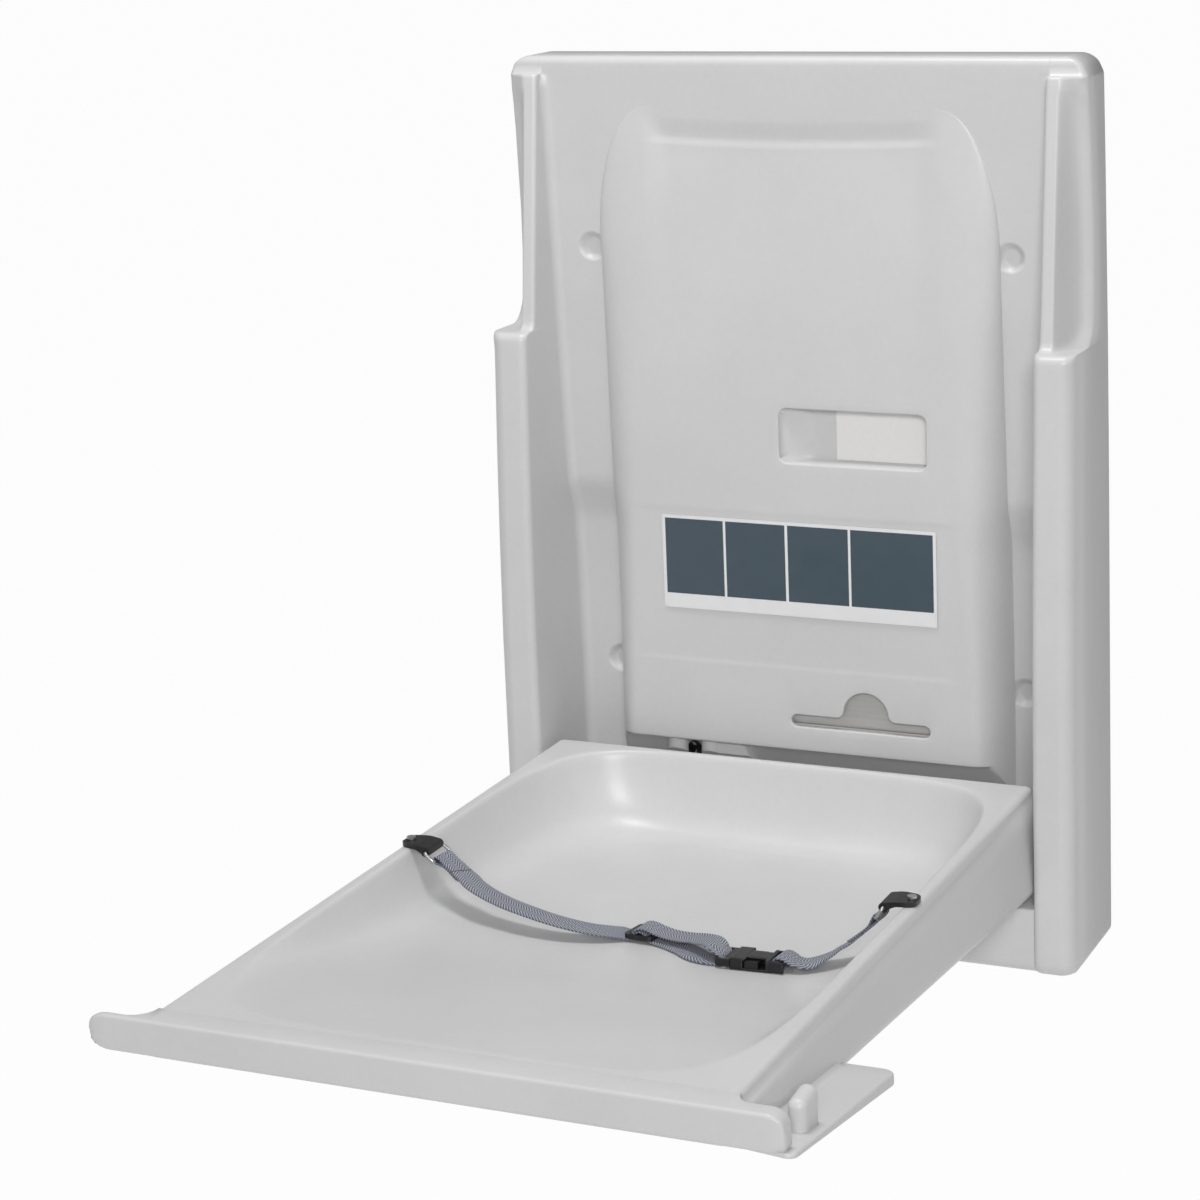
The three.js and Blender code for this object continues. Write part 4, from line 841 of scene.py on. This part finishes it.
def makeBedBody():
    # rings from the middle of the basin floor over the rails and the lip, down the sides and in under the bed
    b = bed
    loop = roundLoop([
        (b["railHalf"], b["rearY"], b["rearCorner"]), (-b["railHalf"], b["rearY"], b["rearCorner"]),
        (-b["railHalf"], b["lipY"] + 3, b["rearCorner"]), (b["railHalf"], b["lipY"] + 3, b["rearCorner"])], 7.0)
    out = outward(loop)
    rings = []
    line = smoothThrough(b["basinLine"], 40)
    inner = basinRing(loop, line[0, 0])
    mid = np.array([0.0, (b["basinRear"] + b["basinFront"]) / 2])
    for share in (0.0, 0.15, 0.3, 0.45, 0.6, 0.72, 0.82, 0.9, 0.96):
        p = mid + (inner - mid) * share
        rings.append((p, floorZ(p[:, 1])))
    for inset, share in line:
        p = basinRing(loop, inset)
        rings.append((p, b["railZ"] - share * (b["railZ"] - floorZ(p[:, 1]))))
    lip = np.clip(-out[:, 1], 0, 1) ** 2
    r = b["railRound"] + (b["rearRound"] - b["railRound"]) * np.clip(out[:, 1], 0, 1) ** 2
    r = r + (b["lipRound"] - b["railRound"]) * lip
    edge = loop - out * r[:, None]
    rim = rings[-1][0]
    for share in (0.2, 0.4, 0.6, 0.8, 1.0):
        p = rim + (edge - rim) * share
        rings.append((p, np.full(len(p), b["railZ"])))
    top = rings[-1][1]
    for t in np.linspace(0, np.pi / 2, 8)[1:]:
        rings.append((edge + out * (r * math.sin(t))[:, None], top - r * (1 - math.cos(t))))
    draft = (b["sideDraft"] * out[:, 0] ** 2 + b["rearDraft"] * out[:, 1] ** 2) * (1 - lip) + lip
    footRound = b["footRound"] + (b["lipFootRound"] - b["footRound"]) * np.sqrt(np.abs(out[:, 1]))
    high, low = top - r, underZ(loop[:, 1]) + footRound
    # down the drafted side, with a small step where the two mouldings meet
    seam = b["seam"] * (1 - lip)
    meet = b["seamDrop"] / (high - low)
    for share, step in [(meet, 0.0), (meet + 0.003, 1.0)] + [(meet + (1 - meet) * s, 1.0) for s in (0.3, 0.6, 0.8, 1.0)]:
        rings.append((loop + out * (draft * share + seam * step)[:, None], high + (low - high) * share))
    for t in np.linspace(0, np.pi / 2, 7)[1:]:
        p = loop + out * (draft + seam - footRound * (1 - math.cos(t)))[:, None]
        rings.append((p, underZ(p[:, 1]) + footRound * (1 - math.sin(t))))
    last = rings[-1][0]
    spine = np.stack([np.zeros(len(last)), np.clip(last[:, 1], -735.0, -150.0)], axis=1)
    for share in (0.8, 0.55, 0.3, 0.0):
        p = spine + (last - spine) * share
        rings.append((p, underZ(p[:, 1])))
    grid = np.array([np.column_stack([p, z]) for p, z in rings])
    return grid, gridFaces(*grid.shape[:2], loop=True)[:, ::-1]


def slab(loop, topZ, footZ, r, steps=5, footR=None):
    # a plate over an outline: rings from its middle line over a rounded edge and in again underneath
    out = outward(loop)
    footR = r if footR is None else footR
    lowX, highX = loop[:, 0].min(), loop[:, 0].max()
    lowY, highY = loop[:, 1].min(), loop[:, 1].max()
    narrow = min(highX - lowX, highY - lowY) / 2
    spine = np.stack([np.clip(loop[:, 0], lowX + narrow, highX - narrow),
                      np.clip(loop[:, 1], lowY + narrow, highY - narrow)], axis=1)
    edge = loop - out * r
    under = loop - out * footR
    rings = [(spine + (edge - spine) * s, 0.0, True) for s in (0.0, 0.5)]
    for t in np.linspace(0, np.pi / 2, steps):
        rings.append((edge + out * r * math.sin(t), -r * (1 - math.cos(t)), True))
    for t in np.linspace(np.pi / 2, 0, steps):
        rings.append((under + out * footR * math.sin(t), footR * (1 - math.cos(t)), False))
    rings += [(spine + (under - spine) * s, 0.0, False) for s in (0.5, 0.0)]
    grid = np.array([np.column_stack([p, (topZ if upper else footZ)(p[:, 0], p[:, 1]) + dz]) for p, dz, upper in rings])
    return grid, gridFaces(*grid.shape[:2], loop=True)[:, ::-1]


def roundBox(y0, y1, z0, z1, radii):
    # a rectangle in y and z with a radius at each corner, from its upper front corner over the top to the rear
    corners = [(y0, z1, 1, -1, np.pi), (y1, z1, -1, -1, np.pi / 2), (y1, z0, -1, 1, 0.0), (y0, z0, 1, 1, -np.pi / 2)]
    runs = []
    for (y, z, sy, sz, start), r in zip(corners, radii):
        turn = start - np.linspace(0, np.pi / 2, 6)
        runs.append(np.stack([y + sy * r + r * np.cos(turn), z + sz * r + r * np.sin(turn)], axis=1))
    return np.concatenate(runs)


def lipRows(side):
    # x, rear face and fall of the sections from the middle out to one tip; fall = 1 - sqrt(1 - ss)
    b = bed
    start, tip, rear, fillet, top, foot = b["lipEnds"][side]
    xs = np.concatenate([[0.0, 120.0, b["railHalf"] - 8], b["railHalf"] + arcSteps(fillet, 9),
                         np.linspace(b["railHalf"] + fillet, start, 4)[1:],
                         start + (tip - start) * np.sin(np.linspace(0, np.pi / 2, 10)[1:])])
    away = np.clip(b["railHalf"] + fillet - np.maximum(xs, b["railHalf"]), 0, fillet)
    rearY = rear + fillet - np.sqrt(fillet ** 2 - away ** 2)
    fall = 1 - np.sqrt(1 - np.clip((xs - start) / (tip - start), 0, 1) ** 2)
    return np.column_stack([side * xs, rearY, fall, top * fall, foot * fall])


def makeLip():
    # one bar across the front of the bed, its ends drawn together to the tips
    b = bed
    rows = np.concatenate([lipRows(-1)[:0:-1], lipRows(1)])
    under = float(underZ(np.array(b["lipY"] + 1.0))) + 0.1
    rings = []
    for x, rear, fall, top, foot in rows:
        z0, z1 = under + foot, b["railZ"] + 0.03 - top
        box = roundBox(b["lipY"] + 2.5 * fall, rear - 1.5 * fall, z0, z1, (b["lipRound"], 2.5, 2.5, b["lipRound"]))
        front = box[:, 0] < (b["lipY"] + rear) / 2
        box[:, 0] += b["lipLean"] * front * (z1 - box[:, 1]) / (z1 - z0)
        rings.append(np.column_stack([np.full(len(box), x), box]))
    for end, side in ((rings[0], -1), (rings[-1], 1)):
        middle = end.mean(axis=0)
        tips = [middle + (end - middle) * size + np.array([side * out, 0.0, 0.0])
                for out, size in ((0.6, 0.8), (0.9, 0.5), (1.0, 0.0))]
        rings = tips[::-1] + rings if side < 0 else rings + tips
    grid = np.array(rings)
    return grid, gridFaces(*grid.shape[:2], loop=True)[:, ::-1]


def mirrored(points, faces, side):
    # the same piece on the left for side -1
    return (points, faces) if side > 0 else (points * np.array([-1.0, 1.0, 1.0]), faces[:, ::-1])


def wingTop(y):
    b = bed
    share = np.clip((b["wingY"] - y) / (b["wingY"] - b["wingFront"]), 0, 1)
    return underZ(y) + b["wingThick"] + (b["wingThin"] - b["wingThick"]) * share + 0.4


def makeWing(side):
    # a plate beside the bed, thin towards the lip
    b = bed
    front = b["wingFront"] if side > 0 else -791.0
    loop = roundLoop([(226.0, b["wingY"], 2.0), (226.0, -790.0, 2.0), (b["wingHalf"], front, 7.0),
                      (b["wingHalf"], b["wingY"], b["wingCorner"])], 8.0)
    return mirrored(*slab(loop, lambda x, y: wingTop(y), lambda x, y: underZ(y) - 0.15, 2.0, footR=1.2), side)


def makeWingFillet(side):
    # hollow quarter round between the bed's side and the wing: x = edge + r(1 - cos), z = top + r(1 - sin)
    b = bed
    y = np.linspace(b["wingY"] - 1.0, -772.0, 40)
    r = 9.0 * smoothStep((b["wingY"] - 1.0 - y) / 10) + 0.2
    low = underZ(y)
    side0 = b["railHalf"] + b["seam"] + b["sideDraft"] * (b["railZ"] - wingTop(y) - 9) / (b["railZ"] - low) - 0.3
    t = np.linspace(0, np.pi / 2, 7)[:, None]
    x = side0 + r * (1 - np.cos(t))
    z = wingTop(y) - 0.1 + r * (1 - np.sin(t))
    grid = np.stack([x, np.broadcast_to(y, x.shape), z], axis=-1)
    return mirrored(grid, gridFaces(*grid.shape[:2]), side)


def makePost():
    # the bag post: a rounded block on the right wing
    b = bed
    (x0, x1), (y0, y1) = b["postX"], b["postY"]
    r = b["postRound"]
    loop = roundLoop([(x0, y1, r), (x0, y0, r), (x1, y0, r), (x1, y1, r)], 3.0)
    foot = float(underZ(np.array(y0)))
    top = lambda x, y: foot + b["postRise"] + 2.5 + (y - y0) / (y1 - y0) * 3.0
    return slab(loop, top, lambda x, y: underZ(y) + 1.0, 6.2, steps=7, footR=0.5)


bedBody = makePiece("bed_body", [
    makeBedBody(), makeLip(),
    makeWing(1), makeWing(-1), makeWingFillet(1), makeWingFillet(-1), makePost()], "bed", weld=0.01)
bedBody.data.materials.append(finishes["moulding"])
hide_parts("bed_shell", "bed_deck")
print("bed:", len(bedBody.data.polygons), "faces")

# ---- guide boss and liners in the housing

guideBoss = {
    "columns": (-129.3, -95.2),
    "radius": 10.8,
    "depth": 58.0,
    "back": 30.0,
    "blockDepth": 54.0,
    "blockTop": -61.3,
    "blockFoot": -54.5,
    "top": 169.4,
    "sweep": 81.0,
    "slot": (-116.5, -108.2, 165.8),
    "slotShadeDepth": 56.0,
}


def sweepFoot(depth):
    # height at which a face at this depth stays clear of the bed's rear edge as it swings past the hinge's far side
    return 89.0 + np.sqrt(guideBoss["sweep"] ** 2 - (99.0 - depth) ** 2)


def makeBossForm(line):
    # a line of (x, depth, x at the foot) carried down from the housing's underside and in along the swept round
    g = guideBoss
    x, d, lean = np.array(line, float).T
    high, low = np.full(len(x), g["top"]), sweepFoot(d)
    rings = [np.column_stack([x, -d, high]), np.column_stack([lean, -d, low])]
    for share in (0.4, 0.7, 1.0):
        back = d + (g["back"] - d) * share
        rings.append(np.column_stack([lean, -back, sweepFoot(back)]))
    grid = np.array(rings)
    return grid, gridFaces(*grid.shape[:2])[:, ::-1]


def makeColumn(middle):
    # half round x = middle + r sin, depth = front - r + r cos, with straight flanks behind it
    g = guideBoss
    r = g["radius"]
    turn = np.linspace(-np.pi / 2, np.pi / 2, 17)
    x = np.concatenate([[middle - r], middle + r * np.sin(turn), [middle + r]])
    d = np.concatenate([[g["back"]], g["depth"] - r + r * np.cos(turn), [g["back"]]])
    return makeBossForm(np.column_stack([x, d, x]))


def makeBlock():
    g = guideBoss
    left, front = g["columns"][1], g["blockDepth"]
    return makeBossForm([(left, front, left), (g["blockTop"] - 2, front, g["blockFoot"] - 2),
                         (g["blockTop"], front - 2, g["blockFoot"]), (g["blockTop"], g["back"], g["blockFoot"])])


def makeBossSlotShade():
    # a black cup with a round top between the columns: painted shade in the slot, set just behind the columns' fronts
    left, right, top = guideBoss["slot"]
    r = (right - left) / 2
    turn = np.linspace(0, np.pi, 13)
    x = np.concatenate([[right], (left + right) / 2 + r * np.cos(turn), [left]])
    z = np.concatenate([[150.0], top - r + r * np.sin(turn), [150.0]])
    rim = np.column_stack([x, np.full(len(x), -guideBoss["slotShadeDepth"]), z])
    grid = np.array([rim, rim + np.array([0.0, 12.0, 0.0])])
    middle = np.array([(left + right) / 2, 12.0 - guideBoss["slotShadeDepth"], 156.0])
    grid = np.concatenate([grid, np.broadcast_to(middle, (1, len(x), 3))])
    return grid, gridFaces(*grid.shape[:2])


boss = makePiece("guide_boss", [makeColumn(c) for c in guideBoss["columns"]] + [makeBlock()], "wall_unit",
                 flat=50)
boss.data.materials.append(finishes["moulding"])
# the black cup in the slot is painted shade, not a part
bossSlotShade = makePiece("guide_boss_slot_shade", [makeBossSlotShade()], "wall_unit", flat=40)
bossSlotShade.data.materials.append(finishes["black"])

linerStack = {"left": -15.5, "right": 127.6, "back": -6.0, "front": -55.5, "foot": 194.4, "sheet": 9.0, "count": 26,
              "bulge": 0.5}


def makeLiners():
    # folded sheets in a stack: each fold's front is a half round y = front - bulge sin, carried across
    k = linerStack
    t = np.linspace(0, np.pi, 7)
    z = (k["foot"] + k["sheet"] * (np.arange(k["count"])[:, None] + 0.04 + 0.92 * t[None] / np.pi)).ravel()
    y = np.tile(k["front"] - k["bulge"] * np.sin(t), k["count"])
    y, z = np.append(y, [k["back"], k["back"]]), np.append(z, [z[-1], z[0]])
    xs = np.array([k["left"], k["left"], k["left"] + 1.5, k["right"] - 1.5, k["right"], k["right"]])
    shrink = np.array([0.0, 0.97, 1.0, 1.0, 0.97, 0.0])
    my, mz = y.mean(), z.mean()
    grid = np.stack([np.column_stack([np.full(len(y), x), my + (y - my) * s, mz + (z - mz) * s]) for x, s in zip(xs, shrink)])
    return grid, gridFaces(*grid.shape[:2], loop=True)


liners = makePiece("liner_stack", [makeLiners()], "wall_unit", weld=0.001, flat=40)
# the stack takes the greyed liners paper, which is painted shade
liners.data.materials.append(finishes["liners"])
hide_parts("liner_pack")
print("boss and liners")

# ---- safety strap

strap = {
    "width": 25.0,
    "thick": 1.5,
    "y": -398.0,
    "leftBar": (-197.54, -398.0, 159.71),
    "rightBar": (200.46, -398.0, 157.04),
    "barWrap": 2.35,
    "tail": 34.0,
    "left": [(-196.2, -398, 159.0), (-186, -400.5, 154.6), (-172, -406.5, 148.6), (-150, -419.8, 143.8),
             (-124.4, -429.4, 139.6), (-97, -437, 136.7), (-68.4, -439.4, 132.4), (-41.7, -434, 127),
             (-21.8, -422.8, 122.2), (-14, -418, 119.7)],
    "overGlide": [(-14, -418, 119.7), (-8.5, -417.6, 120.6), (-4.6, -417.2, 124.6), (0, -417, 126.6), (4.6, -417.2, 124.4),
                  (8.5, -418, 120.2), (14.5, -420, 118.9)],
    "lower": [(14.5, -420, 118.9), (26, -424, 118.9), (44, -434, 119.6), (58, -445, 120.6), (69, -449.2, 121.0),
              (75.5, -449.4, 120.9), (81.6, -448.8, 120.6)],
    "maleBar": (81.6, -448.0, 124.7),
    "maleWrap": 4.1,
    "upper": [(81.6, -447.2, 128.9), (76.5, -445.4, 131.0), (69, -439, 131.6), (56, -429.5, 129), (38, -422, 125.4),
              (24, -418.5, 124.6), (13, -417.3, 126.4), (6, -417, 128.6), (0, -417, 129.2), (-5, -417.2, 127.0),
              (-7.6, -417.4, 123.4)],
    "femaleStart": [(136.0, -446.0, 119.9), (131.5, -446.2, 119.6), (128.6, -446.0, 122.4), (128.9, -445.6, 127.2),
                    (131.5, -445.2, 130.6), (136.2, -444.8, 130.9), (140.5, -444.4, 128.6)],
    "right": [(140.5, -444.4, 128.6), (147, -442.8, 125.8), (155, -434, 124.2), (166, -420, 127), (178, -408, 134.4),
              (188.5, -401, 142.6), (195, -398.4, 149), (199.3, -398, 155.0)],
}


def pathLength(path):
    return np.concatenate([[0.0], np.cumsum(np.linalg.norm(np.diff(path, axis=0), axis=1))])


def strapFrame(path):
    # along, across and up at each point; across keeps level with the sloping basin floor
    along = np.gradient(path, axis=0)
    along /= np.linalg.norm(along, axis=1)[:, None]
    level = np.array([0.0, -math.cos(bed["wedge"]), math.sin(bed["wedge"])])
    across = level - (along @ level)[:, None] * along
    across /= np.linalg.norm(across, axis=1)[:, None]
    return along, across, np.cross(across, along)


def barEnd(route, bar):
    # a strap's end round a wire: the tail underneath, half a turn round the wire, and the main run on top
    k = strap
    main = smoothThrough(route, 220)
    reach = pathLength(main)
    along, across, up = strapFrame(main)
    rise = np.where(reach < 10, k["barWrap"] + (0.85 - k["barWrap"]) * smoothStep(reach / 10), 0.85)
    rise = np.where(reach > k["tail"] - 4, 0.85 * (1 - smoothStep((reach - k["tail"] + 4) / 16)), rise)
    under = np.where(reach < 10, k["barWrap"] + (0.85 - k["barWrap"]) * smoothStep(reach / 10), 0.85)
    tail = (main - up * under[:, None])[reach < k["tail"]][::-1]
    turn = np.linspace(-np.pi / 2, np.pi / 2, 11)[1:-1, None]
    wrap = np.array(bar) + k["barWrap"] * (-np.cos(turn) * along[0] + np.sin(turn) * up[0])
    return np.concatenate([tail, wrap, main + up * rise[:, None]])


def ribbon(path, backward):
    # a flat band with rounded edges carried along the path; the weave's coordinates are in millimetres from the tail
    k = strap
    keep = np.concatenate([[True], np.linalg.norm(np.diff(path, axis=0), axis=1) > 0.05])
    path = path[keep]
    reach = pathLength(path)
    even = np.linspace(0, reach[-1], int(reach[-1] / 0.9))
    path = np.stack([np.interp(even, reach, path[:, i]) for i in range(3)], axis=1)
    for _ in range(2):
        path[1:-1] = (path[:-2] + 2 * path[1:-1] + path[2:]) / 4
    along, across, up = strapFrame(path)
    half, thick = k["width"] / 2, k["thick"] / 2
    turn = np.linspace(-np.pi / 2, np.pi / 2, 5)
    edge = np.stack([half - thick + thick * np.cos(turn), thick * np.sin(turn)], 1)
    top = np.stack([np.linspace(half - thick, thick - half, 9)[1:-1], np.full(7, thick)], 1)
    section = np.concatenate([edge, top, -edge, -top])
    cup = 0.25 * (1 - (section[:, 0] / half) ** 2)
    grid = path[:, None] + across[:, None] * section[None, :, :1] + up[:, None] * (section[:, 1] + cup)[None, :, None]
    # closed ends: the first and last rows drawn flat to the middle of the thickness
    ends = path[[0, -1], None] + across[[0, -1], None] * section[None, :, :1]
    grid = np.concatenate([ends[:1], grid, ends[1:]])
    even = np.concatenate([even[:1], even, even[-1:]])
    if backward:
        even = even[-1] - even
    uv = np.stack(np.broadcast_arrays(section[None, :, 0] + half, even[:, None]), axis=-1)
    return grid, gridFaces(*grid.shape[:2], loop=True), uv


def makeStrap(name, path, backward=False):
    grid, faces, uv = ribbon(path, backward)
    piece = makePiece(name, [(grid, faces[:, ::-1])], None, uv=uv)
    piece.data.materials.append(finishes["webbing"])
    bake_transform(piece)
    return piece


def strapLeftPath():
    # ring, basin, over the adjuster's bar, round the bar of the buckle and back to the adjuster
    k = strap
    first = barEnd(k["left"], k["leftBar"])
    over = smoothThrough(k["overGlide"], 40)[1:]
    lower = smoothThrough(k["lower"], 90)[1:]
    turn = np.linspace(-np.pi / 2, np.pi / 2, 13)[1:-1]
    bar = np.array(k["maleBar"])
    wrap = bar + k["maleWrap"] * np.stack([np.cos(turn), 0.18 * np.sin(turn), np.sin(turn)], 1)
    return np.concatenate([first, over, lower, wrap, smoothThrough(k["upper"], 120)])


def strapRightPath():
    k = strap
    start = smoothThrough(k["femaleStart"], 50)
    end = barEnd(k["right"][::-1], k["rightBar"])
    return np.concatenate([start, end[::-1]])


strapLeft = makeStrap("strap_left", strapLeftPath())
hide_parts("webbing_left", "webbing_loop_upper", "webbing_loop_lower")
strapRight = makeStrap("strap_right", strapRightPath(),
    backward=True)
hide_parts("webbing_right")

wireRing = {"wire": 1.5, "reach": 14.8, "corner": 3.0}


def makeWireRing(name, eye, bar, body, node):
    # round wire along a rounded oblong: one side in the anchor's eye, the other holding the strap
    k = wireRing
    eye, bar = np.array(eye), np.array(bar)
    away = bar - eye
    length = np.linalg.norm(away)
    loop = roundLoop([(0, -k["reach"], k["corner"]), (length, -k["reach"], k["corner"]), (length, k["reach"], k["corner"]),
                      (0, k["reach"], k["corner"])], 3.0)
    ahead, side = away / length, np.array([0.0, 1.0, 0.0])
    line = eye + loop[:, :1] * ahead + loop[:, 1:] * side
    out = outward(loop)
    outer = out[:, :1] * ahead + out[:, 1:] * side
    flat = np.cross(ahead, side)
    turn = np.linspace(0, 2 * np.pi, 13)[:-1]
    grid = line[:, None] + k["wire"] * (np.cos(turn)[None, :, None] * outer[:, None] + np.sin(turn)[None, :, None] * flat)
    grid = np.concatenate([grid, grid[:1]])
    ring = makePiece(name, [(grid, gridFaces(*grid.shape[:2], loop=True))], body, weld=0.001)
    ring.data.materials.append(finishes["steel"])
    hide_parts(node)


makeWireRing("wire_ring_left", (-207.0, -398.0, 167.1), strap["leftBar"], "ring_left", "strap_ring_left")
makeWireRing("wire_ring_right", (207.0, -398.0, 167.1), strap["rightBar"], "ring_right", "strap_ring_right")
# socket of the buckle: plates and walls round the prongs as (from, to along; from, to across; foot, top; edge)
socket = {
    "middle": (115.8, -446.3, 124.55),
    "turn": math.radians(4.7),
    "walls": [(-22.5, -9.5, -16.0, 16.0, 2.95, 4.9, 0.9), (-11.0, 9.0, -9.0, 9.0, 2.95, 4.75, 0.8),
              (-22.5, 10.7, -16.0, 16.0, -4.7, -2.95, 0.7), (-22.5, -11.4, -16.0, -13.4, -4.6, 4.2, 0.7),
              (-22.5, -11.4, 13.4, 16.0, -4.6, 4.2, 0.7), (6.9, 10.7, -16.0, 16.0, -4.6, 4.9, 1.2),
              (9.2, 22.5, -16.0, -13.6, -4.6, 4.5, 0.9), (9.2, 22.5, 13.6, 16.0, -4.6, 4.5, 0.9),
              (16.8, 20.6, -14.5, 14.5, -2.0, 2.0, 1.0)],
}


def makeSocket():
    k = socket
    slope, turn = bed["wedge"], k["turn"]
    front = np.array([0.0, -math.cos(slope), math.sin(slope)])
    ahead = math.cos(turn) * np.array([1.0, 0.0, 0.0]) - math.sin(turn) * front
    rear = -math.sin(turn) * np.array([1.0, 0.0, 0.0]) - math.cos(turn) * front
    up = np.cross(ahead, rear)
    parts = []
    for u0, u1, t0, t1, low, high, edge in k["walls"]:
        r = min(edge + 0.6, (t1 - t0) / 2.2, (u1 - u0) / 2.2)
        loop = roundLoop([(u0, t1, r), (u0, t0, r), (u1, t0, r), (u1, t1, r)], 3.0)
        points, faces = slab(loop, lambda x, y: np.full_like(x, high), lambda x, y: np.full_like(x, low), edge)
        points = np.asarray(points).reshape(-1, 3)
        parts.append((np.array(k["middle"]) + points @ np.array([ahead, rear, up]), faces))
    piece = makePiece("buckle_socket", parts, "bed")
    piece.data.materials.append(finishes["black"])
    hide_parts("buckle_female")


makeSocket()
print("strap and rings")

# ---- finishes on the solids that stay as they are

for part in frame["record"]["subparts"]:
    node = nodes[part["node"]]
    node.data.materials.clear()
    node.data.materials.append(finishes[part["material_slot"]])


def easeEdges(name, width):
    # a solid's loose triangles joined and its edges rounded, without touching its mesh
    node = nodes[name]
    weld = node.modifiers.new("weld", "WELD")
    weld.merge_threshold = 1e-5
    ease = node.modifiers.new("edges", "BEVEL")
    ease.width, ease.segments, ease.limit_method = width * 0.001, 2, "ANGLE"
    ease.angle_limit = math.radians(40)
    ease.use_clamp_overlap = True


for name in ("buckle_male", "strap_adjuster", "strap_anchor_left", "strap_anchor_right"):
    easeEdges(name, 0.7)
for name in ("buckle_prong_rear", "buckle_prong_front", "pocket_card"):
    easeEdges(name, 0.15)

# ---- stage: floor, light and camera

stage = {
    "floorDrop": 1.25,
    "floorSize": 40.0,
    "camera": (0.9786, -2.5060, 0.6190),
    "yaw": 23.288,
    "pitch": 11.685,
    "roll": -1.851,
    "lens": 88.662,
    "shift": (-0.09798, -0.14533),
}


def makeFloor():
    # a wide level sheet; the camera sees it white, and it still takes the object's shadow
    s = stage["floorSize"]
    mesh = bpy.data.meshes.new("floor")
    corners = [(-s, -s, 0), (s, -s, 0), (s, s, 0), (-s, s, 0)]
    mesh.from_pydata([(x, y, -stage["floorDrop"]) for x, y, z in corners], [], [(0, 1, 2, 3)])
    floor = bpy.data.objects.new("floor", mesh)
    bpy.context.scene.collection.objects.link(floor)
    material = bpy.data.materials.new("floor")
    material.use_nodes = True
    tree = material.node_tree
    shader = tree.nodes["Principled BSDF"]
    start = Wire(tree, shader.outputs[0])
    shader.inputs["Base Color"].default_value = grey(244)
    shader.inputs["Roughness"].default_value = 0.9
    path = tree.nodes.new("ShaderNodeLightPath")
    seen = start.math("MAXIMUM", Wire(tree, path.outputs["Is Camera Ray"]), Wire(tree, path.outputs["Is Glossy Ray"]))
    seen = start.math("MAXIMUM", seen, Wire(tree, path.outputs["Is Transmission Ray"]))
    glow = start.node("ShaderNodeEmission", Color=(1, 1, 1, 1), Strength=1.0)
    both = start.node("ShaderNodeMixShader", s0=seen * 0.965, s1=start, s2=glow)
    tree.links.new(both.socket, tree.nodes["Material Output"].inputs["Surface"])
    mesh.materials.append(material)


def makeWorld():
    # white for the camera, a softer grey as the light of the room
    world = bpy.data.worlds.new("room")
    bpy.context.scene.world = world
    world.use_nodes = True
    tree = world.node_tree
    back = tree.nodes["Background"]
    path = tree.nodes.new("ShaderNodeLightPath")
    start = Wire(tree, path.outputs["Is Camera Ray"])
    seen = start.math("MAXIMUM", start, Wire(tree, path.outputs["Is Transmission Ray"]))
    tint = seen.mix((0.3, 0.3, 0.3, 1), (1, 1, 1, 1))
    tree.links.new(tint.socket, back.inputs["Color"])
    back.inputs["Strength"].default_value = 1.0


lamps = {
    "front": {"at": (1.95, -4.9, 2.0), "to": (0.0, -0.3, -0.05), "size": (1.4, 1.1), "power": 122.0},
    "above": {"at": (-0.1, -0.6, 2.5), "to": (0.0, -0.45, -0.2), "size": (0.9, 0.7), "power": 33.0},
}


def makeLamp(name, lamp):
    data = bpy.data.lights.new(name, "AREA")
    data.shape = "RECTANGLE"
    data.size, data.size_y = lamp["size"]
    data.energy = lamp["power"]
    lit = bpy.data.objects.new(name, data)
    lit.location = lamp["at"]
    aim = Vector(lamp["to"]) - Vector(lamp["at"])
    lit.rotation_euler = aim.to_track_quat("-Z", "Y").to_euler()
    bpy.context.scene.collection.objects.link(lit)


def makeCamera():
    # turned by yaw, tipped by pitch and rolled about its own view line
    yaw, pitch, roll = (math.radians(stage[k]) for k in ("yaw", "pitch", "roll"))
    view = Vector((-math.sin(yaw) * math.cos(pitch), math.cos(yaw) * math.cos(pitch), -math.sin(pitch)))
    right = Vector((math.cos(yaw), math.sin(yaw), 0))
    up = right.cross(view)
    across = right * math.cos(roll) + up * math.sin(roll)
    upright = up * math.cos(roll) - right * math.sin(roll)
    data = bpy.data.cameras.new("camera")
    data.sensor_width = 36.0
    data.lens = stage["lens"]
    data.shift_x, data.shift_y = stage["shift"]
    data.clip_end = 100.0
    camera = bpy.data.objects.new("camera", data)
    camera.matrix_world = Matrix.Translation(stage["camera"]) @ Matrix((across, upright, -view)).transposed().to_4x4()
    bpy.context.scene.collection.objects.link(camera)
    bpy.context.scene.camera = camera


makeFloor()
makeWorld()
for name, lamp in lamps.items():
    makeLamp(name, lamp)
makeCamera()
bpy.context.scene.view_settings.view_transform = "Standard"

print("done")
